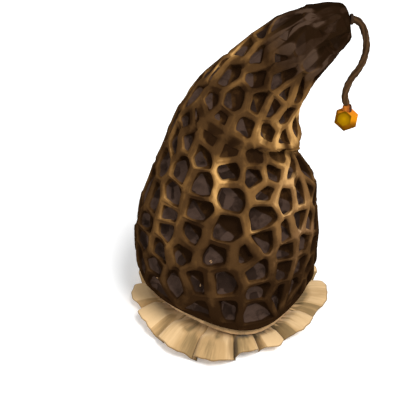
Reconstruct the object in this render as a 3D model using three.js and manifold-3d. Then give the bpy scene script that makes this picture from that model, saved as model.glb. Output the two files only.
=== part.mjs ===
// Slouching morel mushroom hat: moulded foam cap with a ridged and pitted skin, gathered fabric brim,
// and an amber bead hanging from the bent tip on a wire-cored stalk. Millimetres, +Z up.
import * as THREE from "three";
import { mergeVertices } from "three/addons/utils/BufferGeometryUtils.js";
import Module from "manifold-3d";

const FLOOR_SHIFT_X = 1.24; // moves the middle of the footprint to the origin
const FLOOR_SHIFT_Y = 4.45;

// Cap body, one row per ring up the bent spine: height index, centre x, centre z, lean in degrees, radius.
const STATIONS = [
  [0, 0, 22.6, 0, 103],
  [0.15, -1, 30, 0, 113],
  [0.4, -2, 45, 0, 122],
  [1, -4, 74, 0, 128.5],
  [2, -6, 116, 0, 129],
  [3, -5, 158, 0, 124],
  [4, -2, 198, 2, 113],
  [5, 2, 246, 7, 97],
  [6, 8, 291, 16, 82.5],
  [7, 20, 320, 28, 72],
  [8, 37, 349, 37, 61.2],
  [9, 63, 383, 44, 51.5],
  [10, 94.7, 416.6, 48, 42],
  [11, 118.4, 431, 52, 31.6],
  [12, 131.4, 436.6, 62, 24.6],
  [12.6, 138.2, 437, 76, 16.4],
  [12.9, 140, 438.5, 84, 0],
];
const APEX = 12.9;

// Rim: a rounded square, with one side raised where the brim shows most.
const ARCH = { at: 235, half: 70, rise: 14, flat: 0.07, fadesBy: 2 };
const SIDE_FLAT = { at: 328, half: 58, flat: 0.09, fadesFrom: 0.5, fadesBy: 2.4 };
const FRONT_CORNER = { at: 278, half: 40, swell: 0.03 };

// Fold where the cone slumps over the body, on the inner side of the bend: a groove with a lip over it.
const FOLD = { at: 318, half: 105, height: 6.28, dip: 0.85, dipAt: 5, dipHalf: 55 };
const GROOVE = { deep: 8, half: 0.2 };
const LIP = { high: 5, above: 0.42, half: 0.28 };

// Swells of the surface, one per row: direction, half width, height index, half height, how far out.
const SWELLS = [
  [0, 65, 0.75, 0.45, 4.4], [0, 65, 4.25, 0.5, 6], [0, 55, 5.4, 0.5, -6.5], [0, 62, 6.95, 0.6, 9],
  [0, 80, 8.95, 0.7, -3], [185, 70, 4.9, 1.2, -1.8],
];

// Pits on the front, one row per pit: direction in degrees round the cap, height index.
const FRONT_PITS = [
  [253, 1.25], [268, 1.2], [290, 1.1], [303, 1.4], [316, 1.3], [219, 1.35], [236, 1.05],
  [218, 2], [233, 2.35], [238, 1.65], [252, 2.45], [254, 1.75], [267, 2.2], [288.5, 2.5],
  [290, 1.8], [306.5, 2.4], [320, 2.15], [338, 2.4], [324, 2.85], [204, 1.7], [333, 1.6],
  [222, 2.85], [238, 3.15], [262, 3.3], [280, 3.25], [293.5, 3.65], [308.5, 3.05], [207, 2.7],
  [309, 3.65], [321, 3.75], [334, 3.4], [345, 3], [225, 3.55], [243, 3.8], [266, 4.05],
  [205, 3.25], [204, 4], [222, 4.05], [221, 4.45], [293, 4.4], [222, 5.15], [196, 4.95],
  [202, 5.5], [216, 5.8], [207, 6.15], [237, 5.7], [242.5, 5.05], [244.5, 4.45],
  [264, 5.6], [268, 4.93], [285, 5.5], [303, 5.6], [294.5, 5.05], [313, 4.7],
  [329, 4.65], [343, 4.5], [325, 5.35], [350, 3.9], [340, 0.85], [325, 0.8], [347, 1.75],
  [215, 6.95], [212, 6.5], [191, 6.75], [186, 7.6], [207, 7.95], [237, 7.6], [237, 6.85],
  [262, 7.15], [261, 8], [238, 8.5], [262, 8.9], [221, 8.8], [238, 9.15], [283, 8.75],
  [281, 8.1], [299, 8], [288, 7.3], [314, 7.25], [331, 7.6], [186, 8.6],
];
const FOLD_PITS = [[239, 6.22], [257.5, 6.1], [282.5, 6.13], [310, 6.1]]; // shallow, under the fold's lip
const FOLD_PIT_SHARE = 0.3; // of another pit's depth
const BACK_FROM = 352; // the remaining pits run in rows from here round the back
const BACK_TO = 552;
const BACK_ROWS = [0.95, 1.9, 2.85, 3.8, 4.75, 5.65, 6.6, 7.5, 8.4, 9.2];
const PIT_PITCH = 36;
const BACK_SCATTER = 0.22; // share of a pit's own width
const PITS_FROM = 0.4; // height index of the lowest ridge
const PITS_TO = 9.75;
const RIDGE = 7.5; // width across a ridge's crest
const RIDGE_ROUND = 1.2;
const PIT_DEPTH = 11.5;
const FLOOR_SHARE = 0.74; // floor of a pit against its mouth
const FLOOR_DOME = 0.93; // depth at the middle of the floor against its edge
const EDGE_IN = 0.86; // from a pit's middle, its edge against its corners
const SMALLEST_MOUTH = 0.35; // of a pit's own cell
const STEEPEST = 0.62; // depth of a small pit against its half width
const SHORTEST_EDGE = 5;

// Wrinkles that run lengthwise over the smooth tip.
const TIP_RINGS = [10.1, 10.6, 11.1, 11.6, 12.1, 12.6];
const WRINKLES = 9;
const WRINKLE_DEPTH = 1.6;
const WRINKLED_FROM = 10.4;
const WRINKLED_TO = 11.5;

// Hollow for the head: radius against height, over the rim.
const HOLLOW = [
  [0, -10.5], [44, -8], [75, -5], [105, -7], [135, -14], [163, -30], [182, -55], [190, -80],
];
const HOLLOW_ROOF = 2; // rise of the crown's middle
const HOLLOW_LEVEL = [20, 120]; // the rim's own rise fades out between these
const BAND = { from: 4, to: 40, gap: 0.6, thick: 1.8 };
const WELT = { r: 4.4, gap: 0.5, inset: 1.8, sides: 8 };
const ROUND_STEPS = 72;

// Gathered brim, one row per flute: direction of the valley it starts at, and its crest's radius at the edge.
const FLUTES = [
  [12, 136], [38, 140], [65, 142], [91, 143], [118, 142], [144, 141], [171, 143],
  [198, 143], [227, 150], [250, 151], [272, 132], [287, 133], [306, 132], [333, 141],
];
const BRIM = { inner: -9, thick: 3, gap: 0.8 };
const FLUTE = { seam: 12.2, crest: 19, valley: -8, tuck: 16, lean: 2.6, roundness: 1.3, droop: 0.8 };
const BRIM_RINGS = [0, 0.2, 0.45, 0.72, 1];
const FLUTE_STEPS = 12;

// Stalk and bead: x and z of the points the stalk passes through.
const STALK_R = 4.5;
const STALK_SIDES = 10;
const STALK_STEPS = 12;
const STALK = [
  [141.6, 438.4], [145, 437.8], [149.2, 436], [153.6, 431.8], [156.8, 426.4], [159.2, 420],
  [161.6, 410.6], [162.6, 397], [160.4, 382.6], [155.6, 371], [149, 360], [144, 348],
  [141.8, 337], [142.8, 327.4], [144.8, 322.1],
];

// Ferrule and cup are turned: radius, then place along the axis.
const FERRULE = { x: 140.2, z: 438.5 };
const FERRULE_SHAPE = [[5.4, 0.6], [6.6, 0.6], [6.9, 1.4], [6.6, 2.6], [6, 3.2], [5.4, 3.2], [5.4, 0.6]];
const BEAD = { x: 146, z: 300, sides: 6, r: 16.8, table: 9.6, half: 12.4, tilt: 27, turn: 23 };
const CUP = { rise: 20.2, gap: 0.5 };
const CUP_SHAPE = [[0, -8.4], [6.2, -8.4], [6.2, -5], [5.8, -2.4], [5.2, -0.6], [4.8, 0], [0, 0]];
const TURNED_SIDES = 24;

const TURN = Math.PI / 180;

// Smooth curve through the rows of a table whose first column is the parameter.
function sampled(rows, t) {
  const last = rows.length - 1;
  const slope = (i, k) => (rows[i + 1][k] - rows[i][k]) / (rows[i + 1][0] - rows[i][0]);
  const tangent = (i, k) => {
    if (i === 0) return slope(0, k);
    if (i === last) return slope(last - 1, k);
    const before = rows[i][0] - rows[i - 1][0];
    const after = rows[i + 1][0] - rows[i][0];
    return (slope(i - 1, k) * after + slope(i, k) * before) / (before + after);
  };
  let i = 0;
  while (i < last - 1 && t > rows[i + 1][0]) i += 1;
  const h = rows[i + 1][0] - rows[i][0];
  const s = Math.min(Math.max((t - rows[i][0]) / h, 0), 1);
  const a = 2 * s ** 3 - 3 * s ** 2 + 1;
  const b = s ** 3 - 2 * s ** 2 + s;
  const c = 3 * s ** 2 - 2 * s ** 3;
  const d = s ** 3 - s ** 2;
  return rows[0].slice(1).map((_, j) => {
    const k = j + 1;
    return a * rows[i][k] + b * h * tangent(i, k) + c * rows[i + 1][k] + d * h * tangent(i + 1, k);
  });
}

// Straight between the rows of a table: the value in one column for a value in another.
function lookUp(rows, value, from, to) {
  let i = 1;
  while (i < rows.length - 1 && rows[i][from] < value) i += 1;
  const [a, b] = [rows[i - 1], rows[i]];
  return a[to] + ((b[to] - a[to]) * (value - a[from])) / (b[from] - a[from]);
}

function eased(x, from, to) {
  const s = Math.min(Math.max((x - from) / (to - from), 0), 1);
  return s * s * (3 - 2 * s);
}

// 1 at one direction, falling smoothly to 0 half a width away.
function facing(direction, at, half) {
  const off = ((((direction - at + 180) % 360) + 360) % 360) - 180;
  return Math.abs(off) < half ? 0.5 + 0.5 * Math.cos((Math.PI * off) / half) : 0;
}

const raised = (point, by) => point.add(new THREE.Vector3(0, 0, by));
const directions = (count) => Array.from({ length: count }, (_, i) => (360 * i) / count);

const rimRise = (direction) => ARCH.rise * facing(direction, ARCH.at, ARCH.half);

function capRadius(direction, t, radius) {
  const low = 1 - eased(t, 0, 1);
  const arch = ARCH.flat * low * facing(direction, ARCH.at, ARCH.half);
  const side = SIDE_FLAT.flat * facing(direction, SIDE_FLAT.at, SIDE_FLAT.half)
    * (1 - eased(t, SIDE_FLAT.fadesFrom, SIDE_FLAT.fadesBy));
  const corner = FRONT_CORNER.swell * low * facing(direction, FRONT_CORNER.at, FRONT_CORNER.half);
  const fold = facing(direction, FOLD.at, FOLD.half);
  const over = t - FOLD.height + FOLD.dip * facing(direction, FOLD.dipAt, FOLD.dipHalf);
  const groove = GROOVE.deep * fold * Math.exp(-((over / GROOVE.half) ** 2));
  const lip = LIP.high * fold * Math.exp(-(((over - LIP.above) / LIP.half) ** 2));
  const swell = SWELLS.reduce((sum, [at, half, middle, high, out]) =>
    sum + out * facing(direction, at, half) * Math.exp(-(((t - middle) / high) ** 2)), 0);
  return radius * (1 - arch - side + corner) - groove + lip + swell;
}

function capPoint(direction, t) {
  const [x, z, lean, radius] = sampled(STATIONS, t);
  const r = Math.max(capRadius(direction, t, radius), 0);
  const c = Math.cos(direction * TURN);
  const s = Math.sin(direction * TURN);
  const up = rimRise(direction) * (1 - eased(t, 0, ARCH.fadesBy));
  return new THREE.Vector3(
    x + r * c * Math.cos(lean * TURN),
    r * s,
    z + up - r * c * Math.sin(lean * TURN),
  );
}

function capNormal(direction, t) {
  const round = capPoint(direction + 1, t).sub(capPoint(direction - 1, t));
  const rise = capPoint(direction, t + 0.04).sub(capPoint(direction, t - 0.04));
  return round.cross(rise).normalize();
}

const below = (direction, t, depth) =>
  capPoint(direction, t).addScaledVector(capNormal(direction, t), -depth);

// Flat map of the cap: v grows by rise over radius, so a small shape keeps its proportions.
const MAP = [[0, 0]];
const MAP_STEP = 0.05;
for (let t = MAP_STEP; t < TIP_RINGS.at(-1); t += MAP_STEP) {
  const [x0, z0, , r0] = sampled(STATIONS, t - MAP_STEP);
  const [x1, z1, , r1] = sampled(STATIONS, t);
  const rise = Math.hypot(x1 - x0, z1 - z0, r1 - r0);
  MAP.push([t, MAP.at(-1)[1] + rise / (0.5 * (r0 + r1)) / TURN]);
}
const vOf = (t) => lookUp(MAP, t, 0, 1);
const tOf = (v) => lookUp(MAP, v, 1, 0);

// The same sequence of scatter every time.
function scatter(seed) {
  const wave = Math.sin(seed * 12.9898) * 43758.5453;
  return 2 * (wave - Math.floor(wave)) - 1;
}

function pitCentres() {
  const centres = [...FOLD_PITS, ...FRONT_PITS].map(([direction, t]) => [direction, vOf(t)]);
  BACK_ROWS.forEach((t, row) => {
    const r = sampled(STATIONS, t)[3];
    const count = Math.max(3, Math.round(((BACK_TO - BACK_FROM) * TURN * r) / PIT_PITCH));
    const pitch = (BACK_TO - BACK_FROM) / count;
    for (let i = 0; i < count; i += 1) {
      const seed = row * 31 + i;
      const along = BACK_FROM + pitch * (i + (row % 2 ? 0.75 : 0.25) + BACK_SCATTER * scatter(seed));
      centres.push([along % 360, vOf(t) + pitch * BACK_SCATTER * scatter(seed + 500)]);
    }
  });
  return centres;
}

// The part of a polygon nearer to a than to b.
function nearer(polygon, a, b) {
  const mid = [(a[0] + b[0]) / 2, (a[1] + b[1]) / 2];
  const way = [b[0] - a[0], b[1] - a[1]];
  const side = (p) => (p[0] - mid[0]) * way[0] + (p[1] - mid[1]) * way[1];
  const kept = [];
  polygon.forEach((p, i) => {
    const q = polygon[(i + 1) % polygon.length];
    const [sp, sq] = [side(p), side(q)];
    if (sp <= 0) kept.push(p);
    if (sp * sq < 0) {
      const share = sp / (sp - sq);
      kept.push([p[0] + (q[0] - p[0]) * share, p[1] + (q[1] - p[1]) * share]);
    }
  });
  return kept;
}

function pitCells() {
  const centres = pitCentres();
  const [low, high] = [vOf(PITS_FROM), vOf(PITS_TO)];
  return centres.map(([direction, v], own) => {
    let cell = [
      [direction - 60, low], [direction + 60, low], [direction + 60, high], [direction - 60, high],
    ];
    centres.forEach((other, i) => {
      for (const turn of [-360, 0, 360]) {
        const at = [other[0] + turn, other[1]];
        const near = Math.abs(at[0] - direction) < 120;
        if (near && !(i === own && turn === 0)) cell = nearer(cell, [direction, v], at);
      }
    });
    return cell;
  });
}

// Vertices and faces of one closed skin.
class Skin {
  constructor() {
    this.points = [];
    this.faces = [];
  }

  add(point) {
    this.points.push(point);
    return this.points.length - 1;
  }

  ring(points) {
    return points.map((p) => this.add(p));
  }

  face(...loop) {
    const corners = loop.filter((v, i) => v !== loop[(i + 1) % loop.length]);
    for (let i = 1; i < corners.length - 1; i += 1) {
      this.faces.push(corners[0], corners[i], corners[i + 1]);
    }
  }

  // Quads between two rings; the second lies above the first, seen from outside.
  band(lower, upper) {
    lower.forEach((v, i) => {
      const j = (i + 1) % lower.length;
      this.face(v, lower[j], upper[j], upper[i]);
    });
  }

  fan(ring, tip) {
    ring.forEach((v, i) => this.face(v, ring[(i + 1) % ring.length], tip));
  }

  geometry() {
    const geometry = new THREE.BufferGeometry().setFromPoints(this.points);
    geometry.setIndex(this.faces);
    geometry.computeVertexNormals();
    return geometry;
  }
}

// Corners that nearly meet become one, so that no ridge ends in a sliver.
function sharedCorners(cells) {
  const corners = [];
  const [low, high] = [vOf(PITS_FROM), vOf(PITS_TO)];
  const indexOf = (p) => {
    const direction = ((p[0] % 360) + 360) % 360;
    const r = sampled(STATIONS, tOf(p[1]))[3];
    const reach = SHORTEST_EDGE / r / TURN;
    const edge = p[1] < low + reach / 2 ? -1 : p[1] > high - reach / 2 ? 1 : 0;
    const v = [low, p[1], high][edge + 1];
    const found = corners.findIndex((c) => {
      const round = Math.abs(((c.direction - direction + 540) % 360) - 180);
      return c.edge === edge && Math.hypot(round, c.v - v) < reach;
    });
    if (found >= 0) return found;
    corners.push({ direction, v, edge });
    return corners.length - 1;
  };
  const loops = cells.map((cell) => {
    const loop = cell.map(indexOf);
    return loop.filter((c, i) => c !== loop[(i + 1) % loop.length]);
  });
  return { corners, loops };
}

// Splits the ridge along an open edge into three, for a rounder rim and tip.
function splitEdges(corners, loops) {
  const between = new Map();
  const extra = (a, b, third) => {
    const twin = [b, a, 3 - third].join();
    if (between.has(twin)) return between.get(twin);
    const [p, q] = [corners[a], corners[b]];
    const way = ((q.direction - p.direction + 540) % 360) - 180;
    corners.push({ direction: (p.direction + (way * third) / 3 + 360) % 360, v: p.v, edge: p.edge });
    between.set([a, b, third].join(), corners.length - 1);
    return corners.length - 1;
  };
  return loops.map((loop) =>
    loop.flatMap((a, i) => {
      const b = loop[(i + 1) % loop.length];
      const open = corners[a].edge !== 0 && corners[a].edge === corners[b].edge;
      return open ? [a, extra(a, b, 1), extra(a, b, 2)] : [a];
    }),
  );
}

function capShell() {
  const skin = new Skin();
  const { corners, loops: raw } = sharedCorners(pitCells());
  const loops = splitEdges(corners, raw);
  const crest = corners.map((c) => skin.add(capPoint(c.direction, tOf(c.v))));

  loops.forEach((loop, own) => {
    const first = corners[loop[0]].direction;
    const flat = loop.map((c) => {
      const way = ((corners[c].direction - first + 540) % 360) - 180;
      return [first + way, corners[c].v];
    });
    const middle = [0, 1].map((k) => flat.reduce((sum, p) => sum + p[k], 0) / flat.length);
    const r = sampled(STATIONS, tOf(middle[1]))[3];
    const sizes = flat.map((p) => Math.hypot(p[0] - middle[0], p[1] - middle[1]) * TURN * r);
    const across = sizes.reduce((sum, size) => sum + size, 0) / sizes.length;
    const mouth = Math.max(1 - RIDGE / 2 / (across * EDGE_IN), SMALLEST_MOUTH);
    const shallow = own < FOLD_PITS.length ? FOLD_PIT_SHARE : 1;
    const depth = Math.min(PIT_DEPTH, across * STEEPEST) * shallow;
    const towards = (p, share, sink) => {
      const direction = middle[0] + (p[0] - middle[0]) * share;
      return below(direction, tOf(middle[1] + (p[1] - middle[1]) * share), sink);
    };
    const lip = skin.ring(flat.map((p) => towards(p, mouth, RIDGE_ROUND)));
    const floor = skin.ring(flat.map((p) => towards(p, mouth * FLOOR_SHARE, depth)));
    skin.band(loop.map((c) => crest[c]), lip);
    skin.band(lip, floor);
    skin.fan(floor, skin.add(below(middle[0], tOf(middle[1]), depth * FLOOR_DOME)));
  });

  const edge = (side) => corners
    .map((c, i) => ({ ...c, i }))
    .filter((c) => c.edge === side)
    .sort((a, b) => a.direction - b.direction);

  const top = edge(1);
  let under = top.map((c) => crest[c.i]);
  TIP_RINGS.forEach((t) => {
    const ring = skin.ring(top.map(({ direction }) => {
      const deep = eased(t, PITS_TO, WRINKLED_FROM) * (1 - eased(t, WRINKLED_TO, APEX));
      return below(direction, t, WRINKLE_DEPTH * deep * (1 + Math.cos(direction * TURN * WRINKLES)));
    }));
    skin.band(under, ring);
    under = ring;
  });
  skin.fan(under, skin.add(capPoint(0, APEX)));

  const bottom = edge(-1);
  const rings = [bottom.map((c) => crest[c.i])];
  [STATIONS[1][0], 0].forEach((t) => {
    rings.push(skin.ring(bottom.map(({ direction }) => capPoint(direction, t))));
  });
  HOLLOW.forEach(([rise, wider]) => {
    rings.push(skin.ring(bottom.map(({ direction }) => hollowPoint(direction, rise, wider))));
  });
  for (let i = 1; i < rings.length; i += 1) skin.band(rings[i], rings[i - 1]);
  const crown = rings.at(-1);
  const middle = crown.reduce((sum, v) => sum.add(skin.points[v]), new THREE.Vector3());
  const roof = skin.add(raised(middle.divideScalar(crown.length), HOLLOW_ROOF));
  crown.forEach((v, i) => skin.face(crown[(i + 1) % crown.length], v, roof));
  return skin.geometry();
}

// Inside wall of the cap, measured in from the rim; it levels out as it rises.
function hollowPoint(direction, rise, wider) {
  const rim = capPoint(direction, 0);
  const shrink = 1 + wider / STATIONS[0][4];
  const level = rimRise(direction) * (1 - eased(rise, ...HOLLOW_LEVEL));
  return new THREE.Vector3(rim.x * shrink, rim.y * shrink, STATIONS[0][2] + rise + level);
}

// A ring of constant section: corners(direction) gives the section, anticlockwise seen along the ring.
function hoop(count, corners) {
  const skin = new Skin();
  const sections = directions(count).map((direction) => skin.ring(corners(direction)));
  sections.forEach((section, i) => {
    const next = sections[(i + 1) % count];
    section.forEach((v, j) => {
      const k = (j + 1) % section.length;
      skin.face(v, next[j], next[k], section[k]);
    });
  });
  return skin.geometry();
}

function sweatband() {
  const wall = (direction, rise, inward) => {
    const p = hollowPoint(direction, rise, lookUp(HOLLOW, rise, 0, 1));
    const r = Math.hypot(p.x, p.y);
    return p.multiply(new THREE.Vector3((r - inward) / r, (r - inward) / r, 1));
  };
  const { from, to, gap, thick } = BAND;
  return hoop(ROUND_STEPS, (direction) => [
    wall(direction, from, gap),
    wall(direction, to, gap),
    wall(direction, to, gap + thick),
    wall(direction, from, gap + thick),
  ]);
}

function rimWelt() {
  return hoop(ROUND_STEPS, (direction) => {
    const rim = capPoint(direction, 0);
    const out = rim.clone().setZ(0).normalize();
    const centre = raised(rim.clone().addScaledVector(out, -WELT.inset), -WELT.gap - WELT.r);
    return directions(WELT.sides).map((a) =>
      raised(centre.clone().addScaledVector(out, WELT.r * Math.cos(a * TURN)), WELT.r * Math.sin(a * TURN)),
    );
  });
}

// Where a direction falls within its flute, 0 at the valley before it and 1 at the valley after it,
// and how far the brim reaches there.
function fluteAt(direction) {
  const count = FLUTES.length;
  const from = FLUTES[0][0];
  const turned = ((((direction - from) % 360) + 360) % 360) + from;
  let i = 0;
  while (i < count - 1 && FLUTES[i + 1][0] <= turned) i += 1;
  const end = FLUTES[(i + 1) % count][0] + (i === count - 1 ? 360 : 0);
  const share = (turned - FLUTES[i][0]) / (end - FLUTES[i][0]);
  const other = share < 0.5 ? FLUTES.at(i - 1) : FLUTES[(i + 1) % count];
  return { share, reach: THREE.MathUtils.lerp(FLUTES[i][1], other[1], Math.abs(share - 0.5)) };
}

function brimRuffle() {
  const { lerp } = THREE.MathUtils;
  const lower = (direction, s) => {
    const { share, reach } = fluteAt(direction);
    const flute = Math.sin(Math.PI * share) ** FLUTE.roundness;
    const lean = -FLUTE.lean * s * Math.sin(2 * Math.PI * share);
    const rim = capPoint(direction, 0);
    const r0 = Math.hypot(rim.x, rim.y) + BRIM.inner;
    const r = lerp(r0, reach, s) - FLUTE.tuck * s * s * (1 - flute ** 0.45);
    const seam = FLUTE.seam - BRIM.thick - BRIM.gap + rimRise(direction);
    const crest = lerp(seam, FLUTE.crest - BRIM.thick, s);
    const valley = lerp(seam, FLUTE.valley, s ** FLUTE.droop);
    const at = (direction + lean) * TURN;
    return new THREE.Vector3(r * Math.cos(at), r * Math.sin(at), Math.max(lerp(valley, crest, flute), 0));
  };
  const skin = new Skin();
  const around = FLUTES.flatMap(([start], i) => {
    const next = FLUTES[(i + 1) % FLUTES.length][0] + (i === FLUTES.length - 1 ? 360 : 0);
    return Array.from({ length: FLUTE_STEPS }, (_, k) => start + ((next - start) * k) / FLUTE_STEPS);
  });
  const under = BRIM_RINGS.map((s) => skin.ring(around.map((d) => lower(d, s))));
  const over = BRIM_RINGS.map((s) => skin.ring(around.map((d) => raised(lower(d, s), BRIM.thick))));
  for (let i = 1; i < BRIM_RINGS.length; i += 1) {
    skin.band(under[i - 1], under[i]);
    skin.band(over[i], over[i - 1]);
  }
  skin.band(over[0], under[0]);
  skin.band(under.at(-1), over.at(-1));
  return skin.geometry();
}

function turned(shape) {
  const profile = shape.map(([r, along]) => new THREE.Vector2(r, along));
  return new THREE.LatheGeometry(profile, TURNED_SIDES);
}

function tipFerrule() {
  const ring = turned(FERRULE_SHAPE);
  ring.rotateZ(-Math.PI / 2);
  ring.translate(FERRULE.x, 0, FERRULE.z);
  return ring;
}

function tipStalk() {
  const path = new THREE.CatmullRomCurve3(STALK.map(([x, z]) => new THREE.Vector3(x, 0, z)));
  const section = new THREE.Shape(directions(STALK_SIDES).map((a) =>
    new THREE.Vector2(STALK_R * Math.cos(a * TURN), STALK_R * Math.sin(a * TURN)),
  ));
  return new THREE.ExtrudeGeometry(section, { steps: STALK_STEPS * 3, extrudePath: path, curveSegments: 1 });
}

// Faceted bead: a table front and back, widest at the girdle, with a corner of the girdle on top.
function bead(grow = 0) {
  const skin = new Skin();
  const rows = [[BEAD.half, BEAD.table], [0, BEAD.r], [-BEAD.half, BEAD.table]].map(([along, r]) =>
    skin.ring(directions(BEAD.sides).map((a) => new THREE.Vector3(
      -(r + grow) * Math.sin(a * TURN),
      (r + grow) * Math.cos(a * TURN),
      along + Math.sign(along) * grow,
    ))),
  );
  skin.band(rows[1], rows[0]);
  skin.band(rows[2], rows[1]);
  skin.face(...rows[0]);
  skin.face(...[...rows[2]].reverse());
  const geometry = skin.geometry();
  geometry.rotateX(Math.PI / 2 - BEAD.tilt * TURN);
  geometry.rotateZ(-BEAD.turn * TURN);
  geometry.translate(BEAD.x, 0, BEAD.z);
  return geometry;
}

function solidOf(wasm, geometry) {
  const bare = geometry.clone();
  bare.deleteAttribute("normal");
  bare.deleteAttribute("uv");
  const merged = mergeVertices(bare, 1e-3);
  return new wasm.Manifold(new wasm.Mesh({
    numProp: 3,
    vertProperties: merged.attributes.position.array,
    triVerts: new Uint32Array(merged.index.array),
  }));
}

function geometryOf(solid) {
  const { vertProperties, triVerts } = solid.getMesh();
  const geometry = new THREE.BufferGeometry();
  geometry.setAttribute("position", new THREE.BufferAttribute(vertProperties, 3));
  geometry.setIndex(new THREE.BufferAttribute(triVerts, 1));
  geometry.computeVertexNormals();
  return geometry;
}

// Bell over the bead's top corner, cut to fit it, with a seat for the end of the stalk.
function beadCup(wasm) {
  const bell = turned(CUP_SHAPE);
  bell.rotateX(Math.PI / 2);
  bell.translate(BEAD.x, 0, BEAD.z + CUP.rise);
  const cut = solidOf(wasm, bell).subtract(solidOf(wasm, bead(CUP.gap)));
  return geometryOf(cut);
}

function material(colour, roughness, metalness = 0) {
  return new THREE.MeshStandardMaterial({ color: colour, roughness, metalness });
}

const wasm = await Module();
wasm.setup();

const PIECES = [
  ["cap_shell", capShell(), material(0x6b4a2a, 0.75)],
  ["rim_welt", rimWelt(), material(0xc9a777, 0.85)],
  ["brim_ruffle", brimRuffle(), material(0xe3c596, 0.9)],
  ["sweatband", sweatband(), material(0x3d2b1c, 0.9)],
  ["tip_ferrule", tipFerrule(), material(0x33231a, 0.6)],
  ["tip_stalk", tipStalk(), material(0x432d1d, 0.7)],
  ["bead_cup", beadCup(wasm), material(0x5a3d22, 0.5)],
  ["bead", bead(), material(0xe0962b, 0.15)],
];

const hat = new THREE.Group();
PIECES.forEach(([name, geometry, look]) => {
  geometry.translate(FLOOR_SHIFT_X, FLOOR_SHIFT_Y, 0);
  const piece = new THREE.Mesh(geometry, look);
  piece.name = name;
  hat.add(piece);
});

export default hat;
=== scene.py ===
"""Morel mushroom hat: a slouching foam cap with ribs and pits, a gathered brim and a bead on a stalk.

The file is laid out as an add-on and run as a script. Pieces are placed in metres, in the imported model's
own frame. Their tables are in millimetres from the middle of the rim, as the mould is drawn.
"""

import math

import bpy
import numpy as np
from bpy.props import FloatProperty, FloatVectorProperty, IntProperty, PointerProperty
from mathutils import Matrix, Vector, noise


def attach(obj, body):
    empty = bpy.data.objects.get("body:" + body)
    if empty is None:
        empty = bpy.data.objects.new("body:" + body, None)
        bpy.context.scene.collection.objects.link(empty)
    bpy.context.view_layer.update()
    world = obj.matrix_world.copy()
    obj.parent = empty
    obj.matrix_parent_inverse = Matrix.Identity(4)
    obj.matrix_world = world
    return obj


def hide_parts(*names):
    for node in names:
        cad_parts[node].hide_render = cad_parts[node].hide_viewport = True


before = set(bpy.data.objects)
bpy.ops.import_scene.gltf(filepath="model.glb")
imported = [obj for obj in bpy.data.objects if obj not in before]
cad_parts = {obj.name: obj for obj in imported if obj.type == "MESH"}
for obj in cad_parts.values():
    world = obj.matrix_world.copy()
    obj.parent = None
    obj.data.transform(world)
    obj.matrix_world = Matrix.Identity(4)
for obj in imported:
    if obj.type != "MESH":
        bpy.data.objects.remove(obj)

bl_info = {
    "name": "Morel mushroom hat",
    "version": (1, 0, 0),
    "blender": (4, 5, 0),
    "location": "3D View > Sidebar > Morel hat",
    "description": "Builds the cap, brim, sweatband, stalk and bead of a morel mushroom hat",
    "category": "Add Mesh",
}

MM = 0.001
RIM_MIDDLE = (1.24, 4.45)  # from the origin, in millimetres

# Cap, one row per ring up the bent spine: height index, centre x, centre z, lean in degrees, radius.
STATIONS = np.array([
    (0, 0, 22.6, 0, 103),
    (0.15, -1, 30, 0, 113),
    (0.4, -2, 45, 0, 122),
    (1, -4, 74, 0, 128.5),
    (2, -6, 116, 0, 129),
    (3, -5, 158, 0, 124),
    (4, -2, 198, 2, 113),
    (5, 2, 246, 7, 97),
    (6, 8, 291, 16, 82.5),
    (7, 20, 320, 28, 72),
    (8, 37, 349, 37, 61.2),
    (9, 63, 383, 44, 51.5),
    (10, 94.7, 416.6, 48, 42),
    (11, 118.4, 431, 52, 31.6),
    (12, 131.4, 436.6, 62, 24.6),
    (12.6, 138.2, 437, 76, 16.4),
    (12.9, 140, 438.5, 84, 0),
], float)
RIM_RADIUS = STATIONS[0, 4]
RIM_HEIGHT = STATIONS[0, 2]

# Directions are in degrees round the cap, from +X towards +Y. A SPAN is a direction and a half width; a
# RANGE is a height index and a half height.

# Rim: a rounded square, one side raised.
ARCH_SPAN, ARCH_RISE, ARCH_FLAT, ARCH_FADES_BY = (235, 70), 14, 0.07, 2
SIDE_SPAN, SIDE_FLAT, SIDE_FADES = (328, 58), 0.09, (0.5, 2.4)
CORNER_SPAN, CORNER_SWELL = (278, 40), 0.03

# Fold where the cone slumps over the body: a groove with a lip over it.
FOLD_SPAN, FOLD_HEIGHT = (318, 105), 6.28
FOLD_DIP, FOLD_DIP_SPAN = 0.85, (5, 55)
GROOVE_DEEP, GROOVE_RANGE = 8, (0, 0.2)  # this range and the next are measured from the fold
LIP_HIGH, LIP_RANGE = 5, (0.42, 0.28)

# Swells of the surface: how far out, direction, half width, height index, half height.
SWELLS = [
    (4.4, 0, 65, 0.75, 0.45), (6, 0, 65, 4.25, 0.5), (-6.5, 0, 55, 5.4, 0.5), (9, 0, 62, 6.95, 0.6),
    (-3, 0, 80, 8.95, 0.7), (-1.8, 185, 70, 4.9, 1.2),
]

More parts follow.
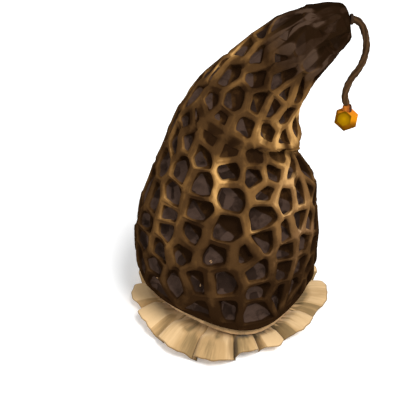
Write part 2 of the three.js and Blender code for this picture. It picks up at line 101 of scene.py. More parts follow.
# Pits on the front: direction, height index and, where its ribs are wide, the extra half width.
FRONT_PITS = [
    (255, 1.15, 5), (268, 1.25, 3), (289, 1.1), (303, 1.4), (316, 1.3), (219, 1.3), (237, 1.85, 1),
    (219, 2.15), (252, 2.15, 2), (268, 2.3, 1.6), (288, 2.6), (290, 1.8), (306.5, 2.4), (320, 2.15),
    (338, 2.4), (324, 2.85), (204, 1.7), (333, 1.6), (222, 2.85), (238, 3.15, 2.4), (262, 3.3, 1.8),
    (280, 3.25, 5), (293.5, 3.65), (308.5, 3.05), (207, 2.7), (309, 3.65, 1), (321, 3.75), (334, 3.4),
    (345, 3), (225, 3.55), (243, 3.8, 1.6), (266, 4.05), (205, 3.25), (204, 4), (222, 4.05),
    (221, 4.45), (293, 4.4), (222, 5.15), (196, 4.95), (202, 5.5), (216, 5.8), (207, 6.15), (237, 5.7),
    (242.5, 5.05), (244.5, 4.45), (264, 5.6, 0.5), (268, 4.93, 1.2), (285, 5.5), (303, 5.6),
    (294.5, 5.05, 2.6), (313, 4.7), (329, 4.65), (343, 4.5), (325, 5.35, 6), (350, 3.9), (340, 0.85),
    (325, 0.8), (347, 1.75), (215, 6.95, 1), (212, 6.5, 3), (191, 6.75), (186, 7.6), (207, 7.95, 0.6),
    (237, 7.6), (237, 6.85, 1.8), (262, 7.15, 2), (261, 8), (238, 8.5, 0.8), (262, 8.9, 0.6),
    (221, 8.8, 1.4), (238, 9.15, 4), (283, 8.75, 1.5), (281, 8.1), (299, 8, 1.6), (288, 7.3, 1.2),
    (314, 7.25, 1.8), (331, 7.6, 4), (186, 8.6), (218.5, 9.6, 5), (298, 8.9, 3), (251, 9.95),
    (190, 9.6), (285, 9.9), (325, 9.4, 7),
]
# Small flattened pits under the fold, and long shallow ones over the tip.
FOLD_PITS = [(239, 6.22), (257.5, 6.1), (282.5, 6.13), (310, 6.1)]
TIP_PITS = [
    (12, 11.3), (52, 11.1), (95, 11.5), (135, 11.2), (175, 11.4), (213, 11.2), (250, 11.5), (290, 11.2),
    (330, 11.4),
]
# Spots where the pale foam shows through: direction, height index and how many vertices.
CHIPS = [(258.5, 2.93, 2), (221.5, 1.7, 1), (252.5, 2.02, 1), (321.5, 3.42, 4), (198.5, 8.78, 1)]
# Patches of painted light and painted shade: how much, direction, half width, height index, half height.
PAINTED_LIGHT_PATCHES = [
    (0.34, 303, 62, 4.9, 1.9), (0.78, 256.5, 12, 5.35, 0.9), (0.4, 303, 55, 7.2, 0.9),
    (0.3, 188, 50, 8.8, 0.9), (0.35, 186, 18, 8.6, 0.6), (0.16, 290, 35, 8.2, 0.9),
    (0.3, 325, 35, 9, 0.9), (0.5, 328, 30, 7.4, 1.3), (0.36, 324, 24, 5.55, 0.6),
    (0.22, 224, 36, 3.9, 2.2), (-0.1, 256, 18, 3.5, 0.8), (-0.16, 279, 12, 3.1, 0.4),
    (0.3, 345, 30, 8.4, 0.7), (0.3, 196, 18, 5.4, 0.6), (-0.12, 185, 24, 4.2, 2.4),
    (0.16, 318, 50, 3.2, 2.2), (0.2, 264, 60, 7.9, 1.6), (0.4, 241, 14, 5.55, 0.4),
    (0.3, 345, 26, 5.3, 0.5), (-0.22, 278, 28, 7.85, 0.45), (-0.14, 252, 20, 6.9, 0.3),
    (-0.16, 213, 18, 6.85, 0.4), (-0.42, 241, 12, 4.9, 0.4), (-0.4, 264, 14, 3.95, 0.4),
    (-0.24, 298, 14, 3.9, 0.4), (0.3, 188, 20, 7.65, 0.5), (0.2, 300, 20, 9.1, 0.5),
    (0.2, 335, 22, 4.1, 0.6), (-0.12, 314, 12, 5.3, 0.4), (-0.22, 250, 25, 8.8, 0.7),
    (0.2, 200, 14, 4.9, 0.4),
]
# Painted light over the whole cap: the least, and how much lighter between the heights where it rises and
# falls.
PAINTED_LIGHT_LEAST, PAINTED_LIGHT_GAINS, PAINTED_LIGHT_RISES, PAINTED_LIGHT_FALLS = 0.08, 0.24, (0.8, 4.4), (8.6, 10.2)
# Painted shade just under the fold's lip: how much, its span, where it sets in and where it fades.
FOLD_SHADE, FOLD_SHADE_SPAN = 0.2, (260, 50)
FOLD_SHADE_SETS_IN, FOLD_SHADE_FADES = (5.65, 5.95), (6.4, 6.75)

# Pits on the back: directions, height index of each row, pitch in millimetres and scatter in pitches.
BACK_FROM, BACK_TO = 352, 552
BACK_ROWS = (0.95, 1.9, 2.85, 3.8, 4.75, 5.65, 6.6, 7.5, 8.4, 9.2, 9.95)
BACK_PITCH = 36
BACK_SCATTER = 0.22
PITS_FROM, PITS_TO = 0.4, 12.3
CELL_REACH = 60  # degrees in the flat map; every cell lies within it
SHORTEST_RIB = 5
TIP_LEAN = math.radians(50)  # the way the tip's creases run
TIP_SKIN_FROM = (8.9, 9.9)
ROSY_SPAN, ROSY_ENDS = (325, 62), (5, 6)  # pinker dye on the right, less of it over the belly
ROSY_FADES, ROSY_FADES_FROM = 0.65, (3.1, 4.0)
# Plain rings that close the cap: height indices over the pits and under them, then round the rim's edge,
# each a share of the way to the hollow and how far it hangs down.
TIP_RINGS = (12.45, 12.6, 12.72, 12.82)
HEM_RINGS = (0.3, 0.2, 0.1, 0.03)
RIM_ROLL = (0.12, 1.6), (0.5, 2.6), (0.88, 1.6)
# Painted light on the hem rings and on the roll under the rim.
HEM_GLOW, ROLL_GLOW = 0.06, 0.04
# Uneven skin, from noise: its waves per millimetre, its shift and its share.
LUMPS = (0.085, (0, 0, 0), 1.5), (0.19, (7, 3, 1), 0.9)
WAVER = (0.06, (2, 9, 4), 0.5)

# Ribs: a step along one, how far it dips between its ends when upright and when level, how much of its
# crest's lightness a level one loses to the walls' painted shade, and how a level one's weakness varies.
# Lengths in millimetres.
RIB_STEP = 3.4
RIB_SAG_UPRIGHT, RIB_SAG_LEVEL = 0.4, 5.2
RIB_FADES = 0.9
RIB_WEAK, RIB_WEAK_VARIES = 0.78, 0.34
RIB_WIDTH_VARIES = 0.32
# Ribs over the fold are wider; on the cone only the level ones are; those by the tip are narrow.
FOLD_RIB_SPAN, FOLD_RIB_RANGE, FOLD_RIB_WIDER = (285, 85), (0.45, 0.25), 4.6
CONE_STARTS, CONE_NARROWER, CONE_LEVEL_WIDER = (5.8, 7.4), 0.16, 0.42
TIP_STARTS, TIP_NARROWER = (9.4, 10.6), 0.3

# A pit, from the crest of its ribs inwards. Across the rib: share of the way to the mouth, drop in
# millimetres. Inside the mouth: share of the mouth's radius, share of the pit's depth.
RIB_RINGS = [(0.4, 0.15), (0.74, 0.6), (0.93, 1.6)]
PIT_RINGS = [(1, 0.3), (0.93, 0.52), (0.87, 0.74), (0.8, 0.9), (0.66, 0.98), (0.42, 1.0), (0.2, 0.97)]
PIT_MIDDLE = 0.95  # share of its depth
MOUTH_ROUNDNESS = 13
SMALLEST_MOUTH, LARGEST_MOUTH = 0.3, 0.93  # shares of the way from a pit's middle to its crests
MOUTH_WAVERS = (2, 0.06, 1), (3, 0.05, 2.3)  # waves round the mouth, their height, their turn per pit
FULL_DEPTH_SIZE = 12  # millimetres; the floor of a smaller mouth lies nearer to its middle
STEEPEST_PIT = 1.05  # deepest for its mouth's radius
PIT_DEPTH_VARIES = 0.12
TIP_PITS_FADE, TIP_PITS_SOFT, TIP_PITS_SHALLOWER = (9.35, 10.2), (9.3, 10.0), 0.78
CONE_PITS, CONE_PITS_SHALLOWER = (5.4, 6.6), 0.24
FOLD_PIT_SHALLOWER = 0.34
FOLD_PIT_ABOVE, FOLD_PIT_BELOW = 7.5, 3  # how much wider the ribs over and under a pit in the fold are
FLOOR_MOVES = np.array([0.3, 0.9])  # how far the floor lies off the mouth's middle, round and up
LIP_SIDE = math.radians(235)  # in the flat map, the lit side of a pit, whose lip gets a painted highlight
EDGE_PLACE = (0.96, 0.12)  # painted highlight at a pit's edge: middle and half width, in shares of its mouth's radius
EDGE_SETS_IN = (1.6, 4.0)  # between these heights; only a trace of it shows lower down
EDGE_LOW = 0.1
EDGE_LIGHT, EDGE_VARIES = 0.7, 0.5
MOUTH_KEEPS = 0.4  # of a crest's lightness and dip
SHALLOW_PIT = 8  # millimetres; the ribs of a shallower one drop less towards its mouth
# Depths at which the floor's colour takes over from the walls' painted shade and is full, each less by so
# much on the lit side.
FLOOR_SETS_IN, FLOOR_IN_SOONER, FLOOR_FULL, FLOOR_FULL_SOONER = 0.72, 0.5, 0.97, 0.4
# In the fold: how much of a floor shows, painted shade at the mouth's edge, and the least of the crest's
# lightness.
FOLD_FLOOR, FOLD_EDGE, FOLD_EDGE_FROM, FOLD_CREST = 0.1, -0.9, (0.1, 0.8), 0.2
TIP_FLOOR_LOSES, TIP_CREST = 0.3, 0.4
# A pit's far part gets a painted shadow, from this share of its radius on. More of the floor shows low on
# the right.
DARK_FROM, DARK_VARIES, DARK_SOFT, DARK_SHARE = -0.34, 0.42, 0.5, 0.95
DARK_NECK, DARK_NECK_RANGE = 0.2, (7.6, 1.6)
DARK_SIDE, DARK_SIDE_SPAN, DARK_SIDE_FADES = 0.45, (326, 45), (6, 7)

# Hollow for the head: height over the rim, how much wider than the rim.
HOLLOW = np.array([
    (0, -10.5), (44, -8), (75, -5), (105, -7), (135, -14), (163, -30), (182, -55), (190, -80),
], float)
HOLLOW_LEVEL = (20, 120)  # heights between which the rim's raised side levels out
HOLLOW_RINGS, HOLLOW_SPACING, ROOF_BULGE = 26, 0.8, 2

# Trim at the rim: piping under the cap, and a sweatband on the wall of the hollow.
WELT_RADIUS, WELT_INSET, WELT_GAP = 4.4, 1.8, 0.5
WELT_WIDER, WELT_WIDE_SPAN = 0.45, (262, 40)
WELT_SPARE = 0.25  # room for its gathers
WELT_GATHERS = (58, 2, 0.035), (91, -1, 0.025)  # how many, their slant and their height as a share
BAND_FROM, BAND_TO, BAND_GAP, BAND_THICK = 4, 40, 0.6, 1.8
BAND_EDGE_HIGH, BAND_EDGE_DEEP = 0.6, 0.5  # its softened edges
BAND_WAVE_HIGH, BAND_WAVES = 0.35, 0.6  # ripples of its inner side: height and radians per millimetre

# Gathered brim, one flute per row: direction of the valley it starts at, its crest's radius at the outer
# edge, and how far its leading edge folds over the flute before it, from 0 to 1.
FLUTES = [
    (12, 136, 0.3), (38, 140, 0.8), (65, 142, 0.4), (91, 143, 0.9), (118, 142, 0.5), (144, 141, 0.7),
    (171, 143, 0.3), (198, 143, 0.1), (227, 152, 1), (250, 156, 0.9), (272, 138, 0.6), (287, 138, 0.3),
    (306, 136, 0.1), (333, 142, 0.1),
]
# One flute along the outer edge, open and folded over: share of the way across, share of the height.
OPEN_FLUTE = np.array([
    (0, 0), (0.08, 0.26), (0.18, 0.58), (0.27, 0.82), (0.34, 0.9), (0.48, 0.95), (0.64, 0.99),
    (0.79, 1.0), (0.9, 0.86), (0.96, 0.45), (1, 0),
])
FOLDED_FLUTE = np.array([
    (0.04, 0.02), (-0.04, 0.24), (-0.07, 0.5), (-0.04, 0.8), (0.04, 0.97), (0.24, 1.0), (0.5, 0.96),
    (0.7, 0.88), (0.76, 0.8), (0.9, 0.3), (1.04, 0.02),
])
FOLD_GIVES_WAY = (0.1, 0.6)  # across a flute, where its own fold passes into the next one's
BRIM_COLUMNS = 48  # in each flute
BRIM_ROWS = 26
BRIM_INNER = -9  # the seam's place from the cap's outline at the rim
BRIM_SEAM = 9.6  # middle of the cloth over the floor where the rim isn't raised
BRIM_TUCK = 16  # how much less an open valley reaches than the crests
BRIM_TUCK_FOLDED = 0.6  # share of it where a flute is folded over
BRIM_BULGE = 5.5  # how far a crest arches between the seam and the edge
BRIM_VALLEY = 0.9  # middle of the cloth over the floor at the edge, in a valley
BRIM_LOWEST = 0.05
HEM_THINNER = 0.35
FLUTE_VARIES = 0.13  # share by which the flutes' heights differ
BRIM_OPENS = (-0.12, 0.52)  # where the flutes start and end opening, in shares of the width
GATHERED_LIFT = 0.25  # height of the cloth that hasn't opened yet, as a share of a crest's
# Waves: how many round the brim, how high, their turn. Gathers by the seam and waves of the edge in
# millimetres, sway of the flutes in degrees.
GATHERS = (61, 0.42, 0), (97, 0.336, 1), (143, 0.252, 2.2)
GATHERS_FROM, GATHERS_TO = (0.08, 0.26), 0.75
EDGE_WAVES = (23, 0.8, 0.7), (57, 0.5, 0)
SWAY = [(9, 0.5, 1)]
LIGHT_FROM = (0.95, -0.3)  # in the plan, the side the light comes from; flute sides that face away from it get painted shade
OUTER_FROM = (0.2, 0.65)  # where the inner part of the brim's width passes into the outer one
# Painted shade and painted light on the cloth: how much (shade above 0, light below 0), direction, half
# width, and which part of the brim's width.
PAINTED_SHADING = [
    (0.3, 279, 18, "all"), (0.16, 306, 14, "all"), (0.3, 240, 22, "all"), (-0.3, 200, 50, "all"),
    (-0.18, 236, 12, "outer"), (0.2, 255, 55, "outer"), (-0.38, 292, 13, "outer"),
    (0.3, 297, 26, "inner"), (-0.3, 246, 34, "inner"),
]
# Painted olive shade in the creases by the rim: share of the width and half width, then share across a
# flute and half width.
CREASE = (0.2, 0.34), (0.42, 0.4)
CREASE_FAINTER = [(0.6, 198, 40), (0.6, 254, 18), (0.75, 312, 34)]  # share lost, direction, half width
# A deeper painted shade in the creases at the left front: how much, its span, and its place as above.
DARK_CREASE, DARK_CREASE_SPAN = 0.9, (235, 44)
DARK_CREASE_PLACE = (0.27, 0.2), (0.5, 0.09)

# Stalk: x and z of the points it passes through, in millimetres from the middle of the rim.
STALK = [
    (141.6, 438.4), (145, 437.8), (149.2, 436), (153.6, 431.8), (156.8, 426.4), (159.2, 420),
    (161.6, 410.6), (162.6, 397), (160.4, 382.6), (155.6, 371), (149, 360), (144, 348), (141.8, 337),
    (142.8, 327.4), (144.8, 322.1),
]
STALK_STRANDS, STALK_TWIST = 5, 26  # strands, and the twist over its length in radians
STALK_GROOVE = 0.07  # depth between the strands, as a share of its radius
STALK_KNOTS = (41, 0.05, 0), (97, 0.04, 1)  # waves along it: how close, how high as a share, their turn
STALK_POINTS = 170

# Turned pieces: radius, then place along the axis.
RING_AT, RING_EDGE = (140.2, 438.5), 0.4
RING_SHAPE = [(4.9, -0.6), (6.6, -0.6), (6.9, 1.4), (6.6, 2.6), (6, 3.2), (4.9, 3.2)]
BEAD_AT = (146, 300)
BEAD_SIDES, BEAD_RADIUS, BEAD_TABLE, BEAD_HALF = 6, 16.8, 9.6, 12.4
BEAD_TILT, BEAD_TURN = 27, 23
CUP_RISE, CUP_EDGE = 20.2, 0.3  # rise of its top over the bead's middle
CUP_SHAPE = [(0, 0), (4.8, 0), (5.2, -0.6), (5.8, -2.4), (6.2, -5), (6.2, -8.4), (0, -8.4)]

# Stage, in metres: camera, then where each light comes from and how wide it is in degrees.
CAMERA_AT = (-0.0277, -1.0958, 0.954)
KEY_FROM, KEY_WIDE = (0.6, -0.85, 1.6), 22
FILL_FROM, FILL_WIDE = (-1.1, -0.6, 0.7), 70


def tone(red, green, blue):
    """A colour given as it looks on a screen, 0 to 255, as the linear colour that materials use."""
    def linear(level):
        level /= 255
        return level / 12.92 if level <= 0.04045 else ((level + 0.055) / 1.055) ** 2.4
    return tuple(linear(level) for level in (red, green, blue))


def colour_property(name, description, shown):
    return FloatVectorProperty(
        name=name, description=description, subtype="COLOR", size=3, min=0, max=1, default=tone(*shown),
    )


def length_property(name, description, metres, low=0.0, high=1.0):
    return FloatProperty(
        name=name, description=description, default=metres, min=low, max=high,
        subtype="DISTANCE", unit="LENGTH",
    )


class MorelCapSettings(bpy.types.PropertyGroup):
    """Sizes and colours of the foam cap."""

    pit_depth: length_property("Pit depth", "From a rib's crest to the floor of a large pit", 0.0125)
    upright_rib: length_property("Upright rib", "Half width of a rib that runs up the cap", 0.0052)
    cross_rib: length_property("Cross rib", "Half width of a rib that runs round the cap", 0.0022)
    roughness: length_property("Skin roughness", "Height of the uneven skin on the floors", 0.0016)
    # The rib tones are the ribs' colour under painted light and shade: lit on the bright side and at the
    # lips, shaded by the rim and the tip. The wall tone is painted shade in the pits.
    rib_light: colour_property("Light ribs", "Lips and ribs on the bright side", (190, 146, 88))
    rib_warm: colour_property("Warm ribs", "Ribs round the bright side", (110, 79, 43))
    rib_mid: colour_property("Middle ribs", "Most ribs", (67, 46, 25))
    rib_dark: colour_property("Dark ribs", "Ribs near the rim and the tip", (40, 25, 12))
    wall: colour_property("Pit walls", "Shaded walls of the pits", (32, 19, 9))
    floor: colour_property("Pit floors", "Light patches on the floors of the pits", (66, 51, 43))
    floor_dark: colour_property("Pit hollows", "Dark patches on the floors of the pits", (41, 30, 24))
    inside: colour_property("Foam inside", "Uncoated foam in the hollow", (78, 58, 42))


class MorelBrimSettings(bpy.types.PropertyGroup):
    """Sizes and colours of the gathered brim and of the trim at the rim."""

    cloth: length_property("Cloth", "Thickness of the cloth", 0.0016)
    crest: length_property("Crest height", "Height of a flute's crest at the outer edge", 0.0185)
    # Cloth light and dark are the cloth's colour with a painted highlight on the crests and painted shade
    # in the folds and the gathers.
    light: colour_property("Cloth light", "Crests of the flutes", (214, 180, 133))
    dark: colour_property("Cloth dark", "Folds and the gathers by the rim", (84, 68, 42))
    hem: colour_property("Hem", "Edge of the cloth", (104, 78, 46))
    welt: colour_property("Welt", "Piping under the rim", (206, 168, 120))
    band: colour_property("Sweatband", "Band inside the rim", (66, 47, 35))


class MorelStalkSettings(bpy.types.PropertyGroup):
    """Sizes and colours of the stalk, its ring and the bead."""

    diameter: length_property("Stalk", "Thickness of the stalk", 0.009)
    bark: colour_property("Stalk colour", "Dark cord of the stalk", (66, 46, 27))
    amber: colour_property("Amber", "Facets round the bead", (196, 124, 14))
    honey: colour_property("Honey", "Table of the bead", (144, 104, 4))
    bead_bevel: length_property("Bead edge", "Width of the softened edges of the bead", 0.0007)


class MorelStageSettings(bpy.types.PropertyGroup):
    """Camera, floor and light."""

    lens: FloatProperty(name="Lens", description="Focal length in millimetres", default=85, min=10)
    look_down: FloatProperty(
        name="Look down", description="Angle of the camera below the horizon",
        default=math.radians(36), subtype="ANGLE",
    )
    key: FloatProperty(name="Key", description="Strength of the soft key light", default=3.1, min=0)
    fill: FloatProperty(name="Fill", description="Strength of the fill light", default=0.8, min=0)
    sky: FloatProperty(name="Sky", description="Strength of the even light", default=0.5, min=0)
    floor_side: IntProperty(name="Floor", description="Length of the floor's side in metres", default=12)
    floor_glow: FloatProperty(
        name="Floor glow", description="The floor's own light, which softens the shadow",
        default=0.16, min=0,
    )


# Shape of the cap

def facing(direction, at, half):
    """1 at one direction, falling smoothly to 0 half a width away."""
    off = (np.asarray(direction, float) - at + 180) % 360 - 180
    return np.where(np.abs(off) < half, 0.5 + 0.5 * np.cos(np.pi * off / half), 0.0)


def eased(x, low, high):
    """0 below low, 1 above high and smooth between them."""
    s = np.clip((np.asarray(x, float) - low) / (high - low), 0, 1)
    return s * s * (3 - 2 * s)


def peak(x, at, half):
    """A bell of height 1."""
    return np.exp(-(((np.asarray(x, float) - at) / half) ** 2))


def patches(table, direction, t):
    """The patches of a table added up: how much, direction, half width, height index, half height."""
    return sum(row[0] * facing(direction, *row[1:3]) * peak(t, *row[3:]) for row in table)


def station_slopes():
    knots, rows = STATIONS[:, 0], STATIONS[:, 1:]
    step = np.diff(knots)[:, None]
    slope = np.diff(rows, axis=0) / step
    inner = (slope[:-1] * step[1:] + slope[1:] * step[:-1]) / (step[:-1] + step[1:])
    return np.vstack([slope[:1], inner, slope[-1:]])


STATION_SLOPES = station_slopes()


def station(t):
    """Centre x, centre z, lean and radius at height index t, on a smooth curve through STATIONS."""
    t = np.asarray(t, float)
    knots, rows = STATIONS[:, 0], STATIONS[:, 1:]
    i = np.clip(np.searchsorted(knots, t, side="right") - 1, 0, len(knots) - 2)
    h = (knots[i + 1] - knots[i])[..., None]
    s = np.clip((t - knots[i])[..., None] / h, 0, 1)
    value = (2 * s**3 - 3 * s**2 + 1) * rows[i] + (3 * s**2 - 2 * s**3) * rows[i + 1]
    value += h * ((s**3 - 2 * s**2 + s) * STATION_SLOPES[i] + (s**3 - s**2) * STATION_SLOPES[i + 1])
    return np.moveaxis(value, -1, 0)


def rim_rise(direction):
    return ARCH_RISE * facing(direction, *ARCH_SPAN)


def over_fold(direction, t):
    """How far above the fold a height is, in the height index."""
    return t - FOLD_HEIGHT + FOLD_DIP * facing(direction, *FOLD_DIP_SPAN)


def cap_surface(direction, t):
    """The cap's smooth outer surface, in millimetres from the middle of the rim."""
    direction, t = np.broadcast_arrays(np.asarray(direction, float), np.asarray(t, float))
    x, z, lean, radius = station(t)
    low = 1 - eased(t, 0, 1)
    arch = ARCH_FLAT * low * facing(direction, *ARCH_SPAN)
    side = SIDE_FLAT * facing(direction, *SIDE_SPAN) * (1 - eased(t, *SIDE_FADES))
    corner = CORNER_SWELL * low * facing(direction, *CORNER_SPAN)
    fold = facing(direction, *FOLD_SPAN)
    over = over_fold(direction, t)
    r = radius * (1 - arch - side + corner)
    r += fold * (LIP_HIGH * peak(over, *LIP_RANGE) - GROOVE_DEEP * peak(over, *GROOVE_RANGE))
    r = np.maximum(r + patches(SWELLS, direction, t), 0)
    c, s = np.cos(np.radians(direction)), np.sin(np.radians(direction))
    tilt = np.radians(lean)
    up = rim_rise(direction) * (1 - eased(t, 0, ARCH_FADES_BY))
    return np.stack([x + r * c * np.cos(tilt), r * s, z + up - r * c * np.sin(tilt)], axis=-1)


def cap_normal(direction, t):
    round_it = cap_surface(direction + 1, t) - cap_surface(direction - 1, t)
    up_it = cap_surface(direction, t + 0.04) - cap_surface(direction, t - 0.04)
    normal = np.cross(round_it, up_it)
    return normal / np.maximum(np.linalg.norm(normal, axis=-1, keepdims=True), 1e-9)


# Flat map of the cap: v grows by rise over radius, in degrees, so a small shape keeps its proportions.
MAP_T = np.arange(0, 12.7, 0.02)
_x, _z, _, _r = station(MAP_T)
MAP_V = np.concatenate([[0], np.cumsum(np.degrees(
    np.sqrt(np.diff(_x) ** 2 + np.diff(_z) ** 2 + np.diff(_r) ** 2) / (0.5 * (_r[1:] + _r[:-1]))
))])


def v_of(t):
    return np.interp(t, MAP_T, MAP_V)


def t_of(v):
    return np.interp(v, MAP_V, MAP_T)


def degree_size(t):
    """Millimetres on the cap for one degree in the flat map."""
    return np.radians(1) * station(t)[3]


def scatter(seed):
    """The same sequence of scatter every time."""
    wave = math.sin(seed * 12.9898) * 43758.5453
    return 2 * (wave - math.floor(wave)) - 1


def pit_centres():
    centres = [(pit[0] % 360, float(v_of(pit[1]))) for pit in FRONT_PITS + FOLD_PITS + TIP_PITS]
    for row, t in enumerate(BACK_ROWS):
        count = max(3, round((BACK_TO - BACK_FROM) * float(degree_size(t)) / BACK_PITCH))
        pitch = (BACK_TO - BACK_FROM) / count
        for i in range(count):
            seed = row * 31 + i
            along = BACK_FROM + pitch * (i + (0.75 if row % 2 else 0.25) + BACK_SCATTER * scatter(seed))
            centres.append((along % 360, float(v_of(t)) + pitch * BACK_SCATTER * scatter(seed + 500)))
    return centres


def nearer(polygon, a, b):
    """The part of a polygon nearer to a than to b."""
    mid = ((a[0] + b[0]) / 2, (a[1] + b[1]) / 2)
    way = (b[0] - a[0], b[1] - a[1])
    sides = [(p[0] - mid[0]) * way[0] + (p[1] - mid[1]) * way[1] for p in polygon]
    kept = []
    for i, p in enumerate(polygon):
        j = (i + 1) % len(polygon)
        if sides[i] <= 0:
            kept.append(p)
        if sides[i] * sides[j] < 0:
            share = sides[i] / (sides[i] - sides[j])
            q = polygon[j]
            kept.append((p[0] + (q[0] - p[0]) * share, p[1] + (q[1] - p[1]) * share))
    return kept


def pit_cells(centres):
    """Each pit's share of the flat map: the points nearer to it than to any other pit."""
    low, high = float(v_of(PITS_FROM)), float(v_of(PITS_TO))
    cells = []
    for own, (direction, v) in enumerate(centres):
        left, right = direction - CELL_REACH, direction + CELL_REACH
        cell = [(left, low), (right, low), (right, high), (left, high)]
        others = []
        for i, (other_direction, other_v) in enumerate(centres):
            for turn in (-360, 0, 360):
                at = (other_direction + turn, other_v)
                gap = math.hypot(at[0] - direction, at[1] - v)
                if i != own and gap < 2 * CELL_REACH:
                    others.append((gap, at))
        for _, at in sorted(others):
            cell = nearer(cell, (direction, v), at)
        cells.append(cell)
    return cells


def turned_by(a, b):
    """The way round from direction a to direction b, from -180 to 180."""
    return (b - a + 540) % 360 - 180


def shared_corners(cells):
    """Corners that nearly meet become one, so that no rib ends in a sliver."""
    corners = []
    low, high = float(v_of(PITS_FROM)), float(v_of(PITS_TO))

    def index_of(point):
        reach = SHORTEST_RIB / float(degree_size(t_of(point[1])))
        edge = -1 if point[1] < low + reach / 2 else 1 if point[1] > high - reach / 2 else 0
        v = (low, point[1], high)[edge + 1]
        for i, (direction, other_v, other_edge) in enumerate(corners):
            near = math.hypot(turned_by(direction, point[0]), other_v - v) < reach
            if other_edge == edge and near:
                return i
        corners.append((point[0] % 360, v, edge))
        return len(corners) - 1

    loops = []
    for cell in cells:
        loop = [index_of(point) for point in cell]
        loops.append([c for i, c in enumerate(loop) if c != loop[(i + 1) % len(loop)]])
    return corners, loops


class Skin:
    """Vertices, faces and named marks of one closed mesh, in millimetres until it is made."""

    def __init__(self, *marks):
        self.points = []
        self.faces = []
        self.marks = {name: [] for name in marks}

    def add(self, point, **marks):
        self.points.append(point)
        for name, values in self.marks.items():
            values.append(marks.get(name, 0.0))
        return len(self.points) - 1

    def band(self, lower, upper):
        """Quads between two closed rings; seen from outside, the second is above the first."""
        for i, v in enumerate(lower):
            j = (i + 1) % len(lower)
            self.faces.append((v, lower[j], upper[j], upper[i]))

    def climb(self, rings):
        """Bands between rings that follow one another upwards."""
        for lower, upper in zip(rings, rings[1:]):
            self.band(lower, upper)

    def fan(self, ring, middle):
        for i, v in enumerate(ring):
            self.faces.append((v, ring[(i + 1) % len(ring)], middle))

    def made(self, name, points=None):
        """The mesh as an object at the origin, with each mark as an attribute."""
        mesh = bpy.data.meshes.new(name)
        points = np.asarray(self.points if points is None else points, float)
        points = (points + (*RIM_MIDDLE, 0)) * MM
        mesh.from_pydata(points.tolist(), [], self.faces)
        mesh.validate()
        for mark, values in self.marks.items():
            attribute = mesh.attributes.new(mark, "FLOAT", "POINT")
            attribute.data.foreach_set("value", np.asarray(values, np.float32))
        mesh.shade_smooth()
        obj = bpy.data.objects.new(name, mesh)
        bpy.context.scene.collection.objects.link(obj)
        return obj


def rib_width(middle, way, settings):
    """Half width of the rib along one side of a pit: wider where the rib runs up the cap."""
    direction, t = middle[0], float(t_of(middle[1]))
    upright = abs(way[1]) / math.hypot(*way)
    half = (settings.cross_rib + (settings.upright_rib - settings.cross_rib) * upright) / MM
    fold = facing(direction, *FOLD_RIB_SPAN)
    fold = float(fold * peak(over_fold(direction, t), *FOLD_RIB_RANGE))
    half += FOLD_RIB_WIDER * fold * (1 - upright)
    half *= 1 + (CONE_LEVEL_WIDER * (1 - upright) - CONE_NARROWER) * float(eased(t, *CONE_STARTS))
    half *= 1 - TIP_NARROWER * float(eased(t, *TIP_STARTS))
    return half * (1 + RIB_WIDTH_VARIES * scatter(direction * 7.31 + t * 3.7))


def mouth_radius(angles, sides, roundness):
    """Radius of a rounded polygon about its middle. A side is its normal's angle and its distance."""
    total = np.zeros_like(angles)
    for normal, distance in sides:
        total += np.maximum(np.cos(angles - normal) / distance, 0) ** roundness
    return total ** (-1 / roundness)


def rib_points(skin, corners, loops):
    """The crest line round every cell, shared between neighbours. Returns each cell's ring."""
    known = {}

    def crest(direction, v, key, weak):
        if key not in known:
            dip = RIB_SAG_UPRIGHT + (RIB_SAG_LEVEL - RIB_SAG_UPRIGHT) * weak if weak else 0.0
            known[key] = skin.add((direction % 360, v, dip), crest=1 - RIB_FADES * weak)
        return known[key]

    rings = []
    for loop in loops:
        ring = []
        for i, a in enumerate(loop):
            b = loop[(i + 1) % len(loop)]
            first, last = (a, b) if a < b else (b, a)
            start, end = corners[first], corners[last]
            way = (turned_by(start[0], end[0]), end[1] - start[1])
            level = 1 - abs(way[1]) / math.hypot(*way)
            level *= RIB_WEAK + RIB_WEAK_VARIES * scatter(start[0] * 3.1 + end[1] * 1.7)
            scale = float(degree_size(t_of((start[1] + end[1]) / 2)))
            count = max(1, round(math.hypot(*way) * scale / RIB_STEP))
            for k in range(count) if a < b else range(count, 0, -1):
                key = first if k == 0 else last if k == count else (first, last, k)
                share = k / count
                weak = level * math.sin(math.pi * share) ** 0.7 if 0 < k < count else 0.0
                ring.append(crest(start[0] + way[0] * share, start[1] + way[1] * share, key, weak))
        rings.append(ring)
    return rings


def pit_mouth(flat, middle, scale, edge, seed, fold, wider, settings):
    """The mouth's radius towards each point of the crest line: a rounded polygon inside its ribs."""
    local = (flat - middle) * scale
    sides = []
    for i, p in enumerate(local):
        j = (i + 1) % len(local)
        way = local[j] - p
        normal = np.array([way[1], -way[0]]) / np.hypot(*way)
        distance = float(normal @ p)
        if distance < 0:
            normal, distance = -normal, -distance
        width = rib_width((flat[i] + flat[j]) / 2, way, settings) + wider
        if fold:
            width += FOLD_PIT_ABOVE * max(0, normal[1]) + FOLD_PIT_BELOW * max(0, -normal[1])
        distance = max(distance - width, SMALLEST_MOUTH * distance)
        sides.append((math.atan2(normal[1], normal[0]), distance))
    angles, outer = np.arctan2(edge[:, 1], edge[:, 0]), np.hypot(edge[:, 0], edge[:, 1])
    waver = 1 + sum(high * np.sin(waves * angles + turn * seed) for waves, high, turn in MOUTH_WAVERS)
    mouth = np.minimum(mouth_radius(angles, sides, MOUTH_ROUNDNESS) * waver, outer * LARGEST_MOUTH)
    return angles, outer, mouth


def dark_from(direction, t, seed):
    """Where in a pit the painted shadow on its far part starts, from -1 at the near side to 1 at the far
    one.
    """
    start = DARK_FROM + DARK_VARIES * scatter(seed * 1.7 + 3)
    start -= DARK_NECK * float(peak(t, *DARK_NECK_RANGE))
    shows = facing(direction, *DARK_SIDE_SPAN) * (1 - eased(t, *DARK_SIDE_FADES))
    return start + DARK_SIDE * float(shows)


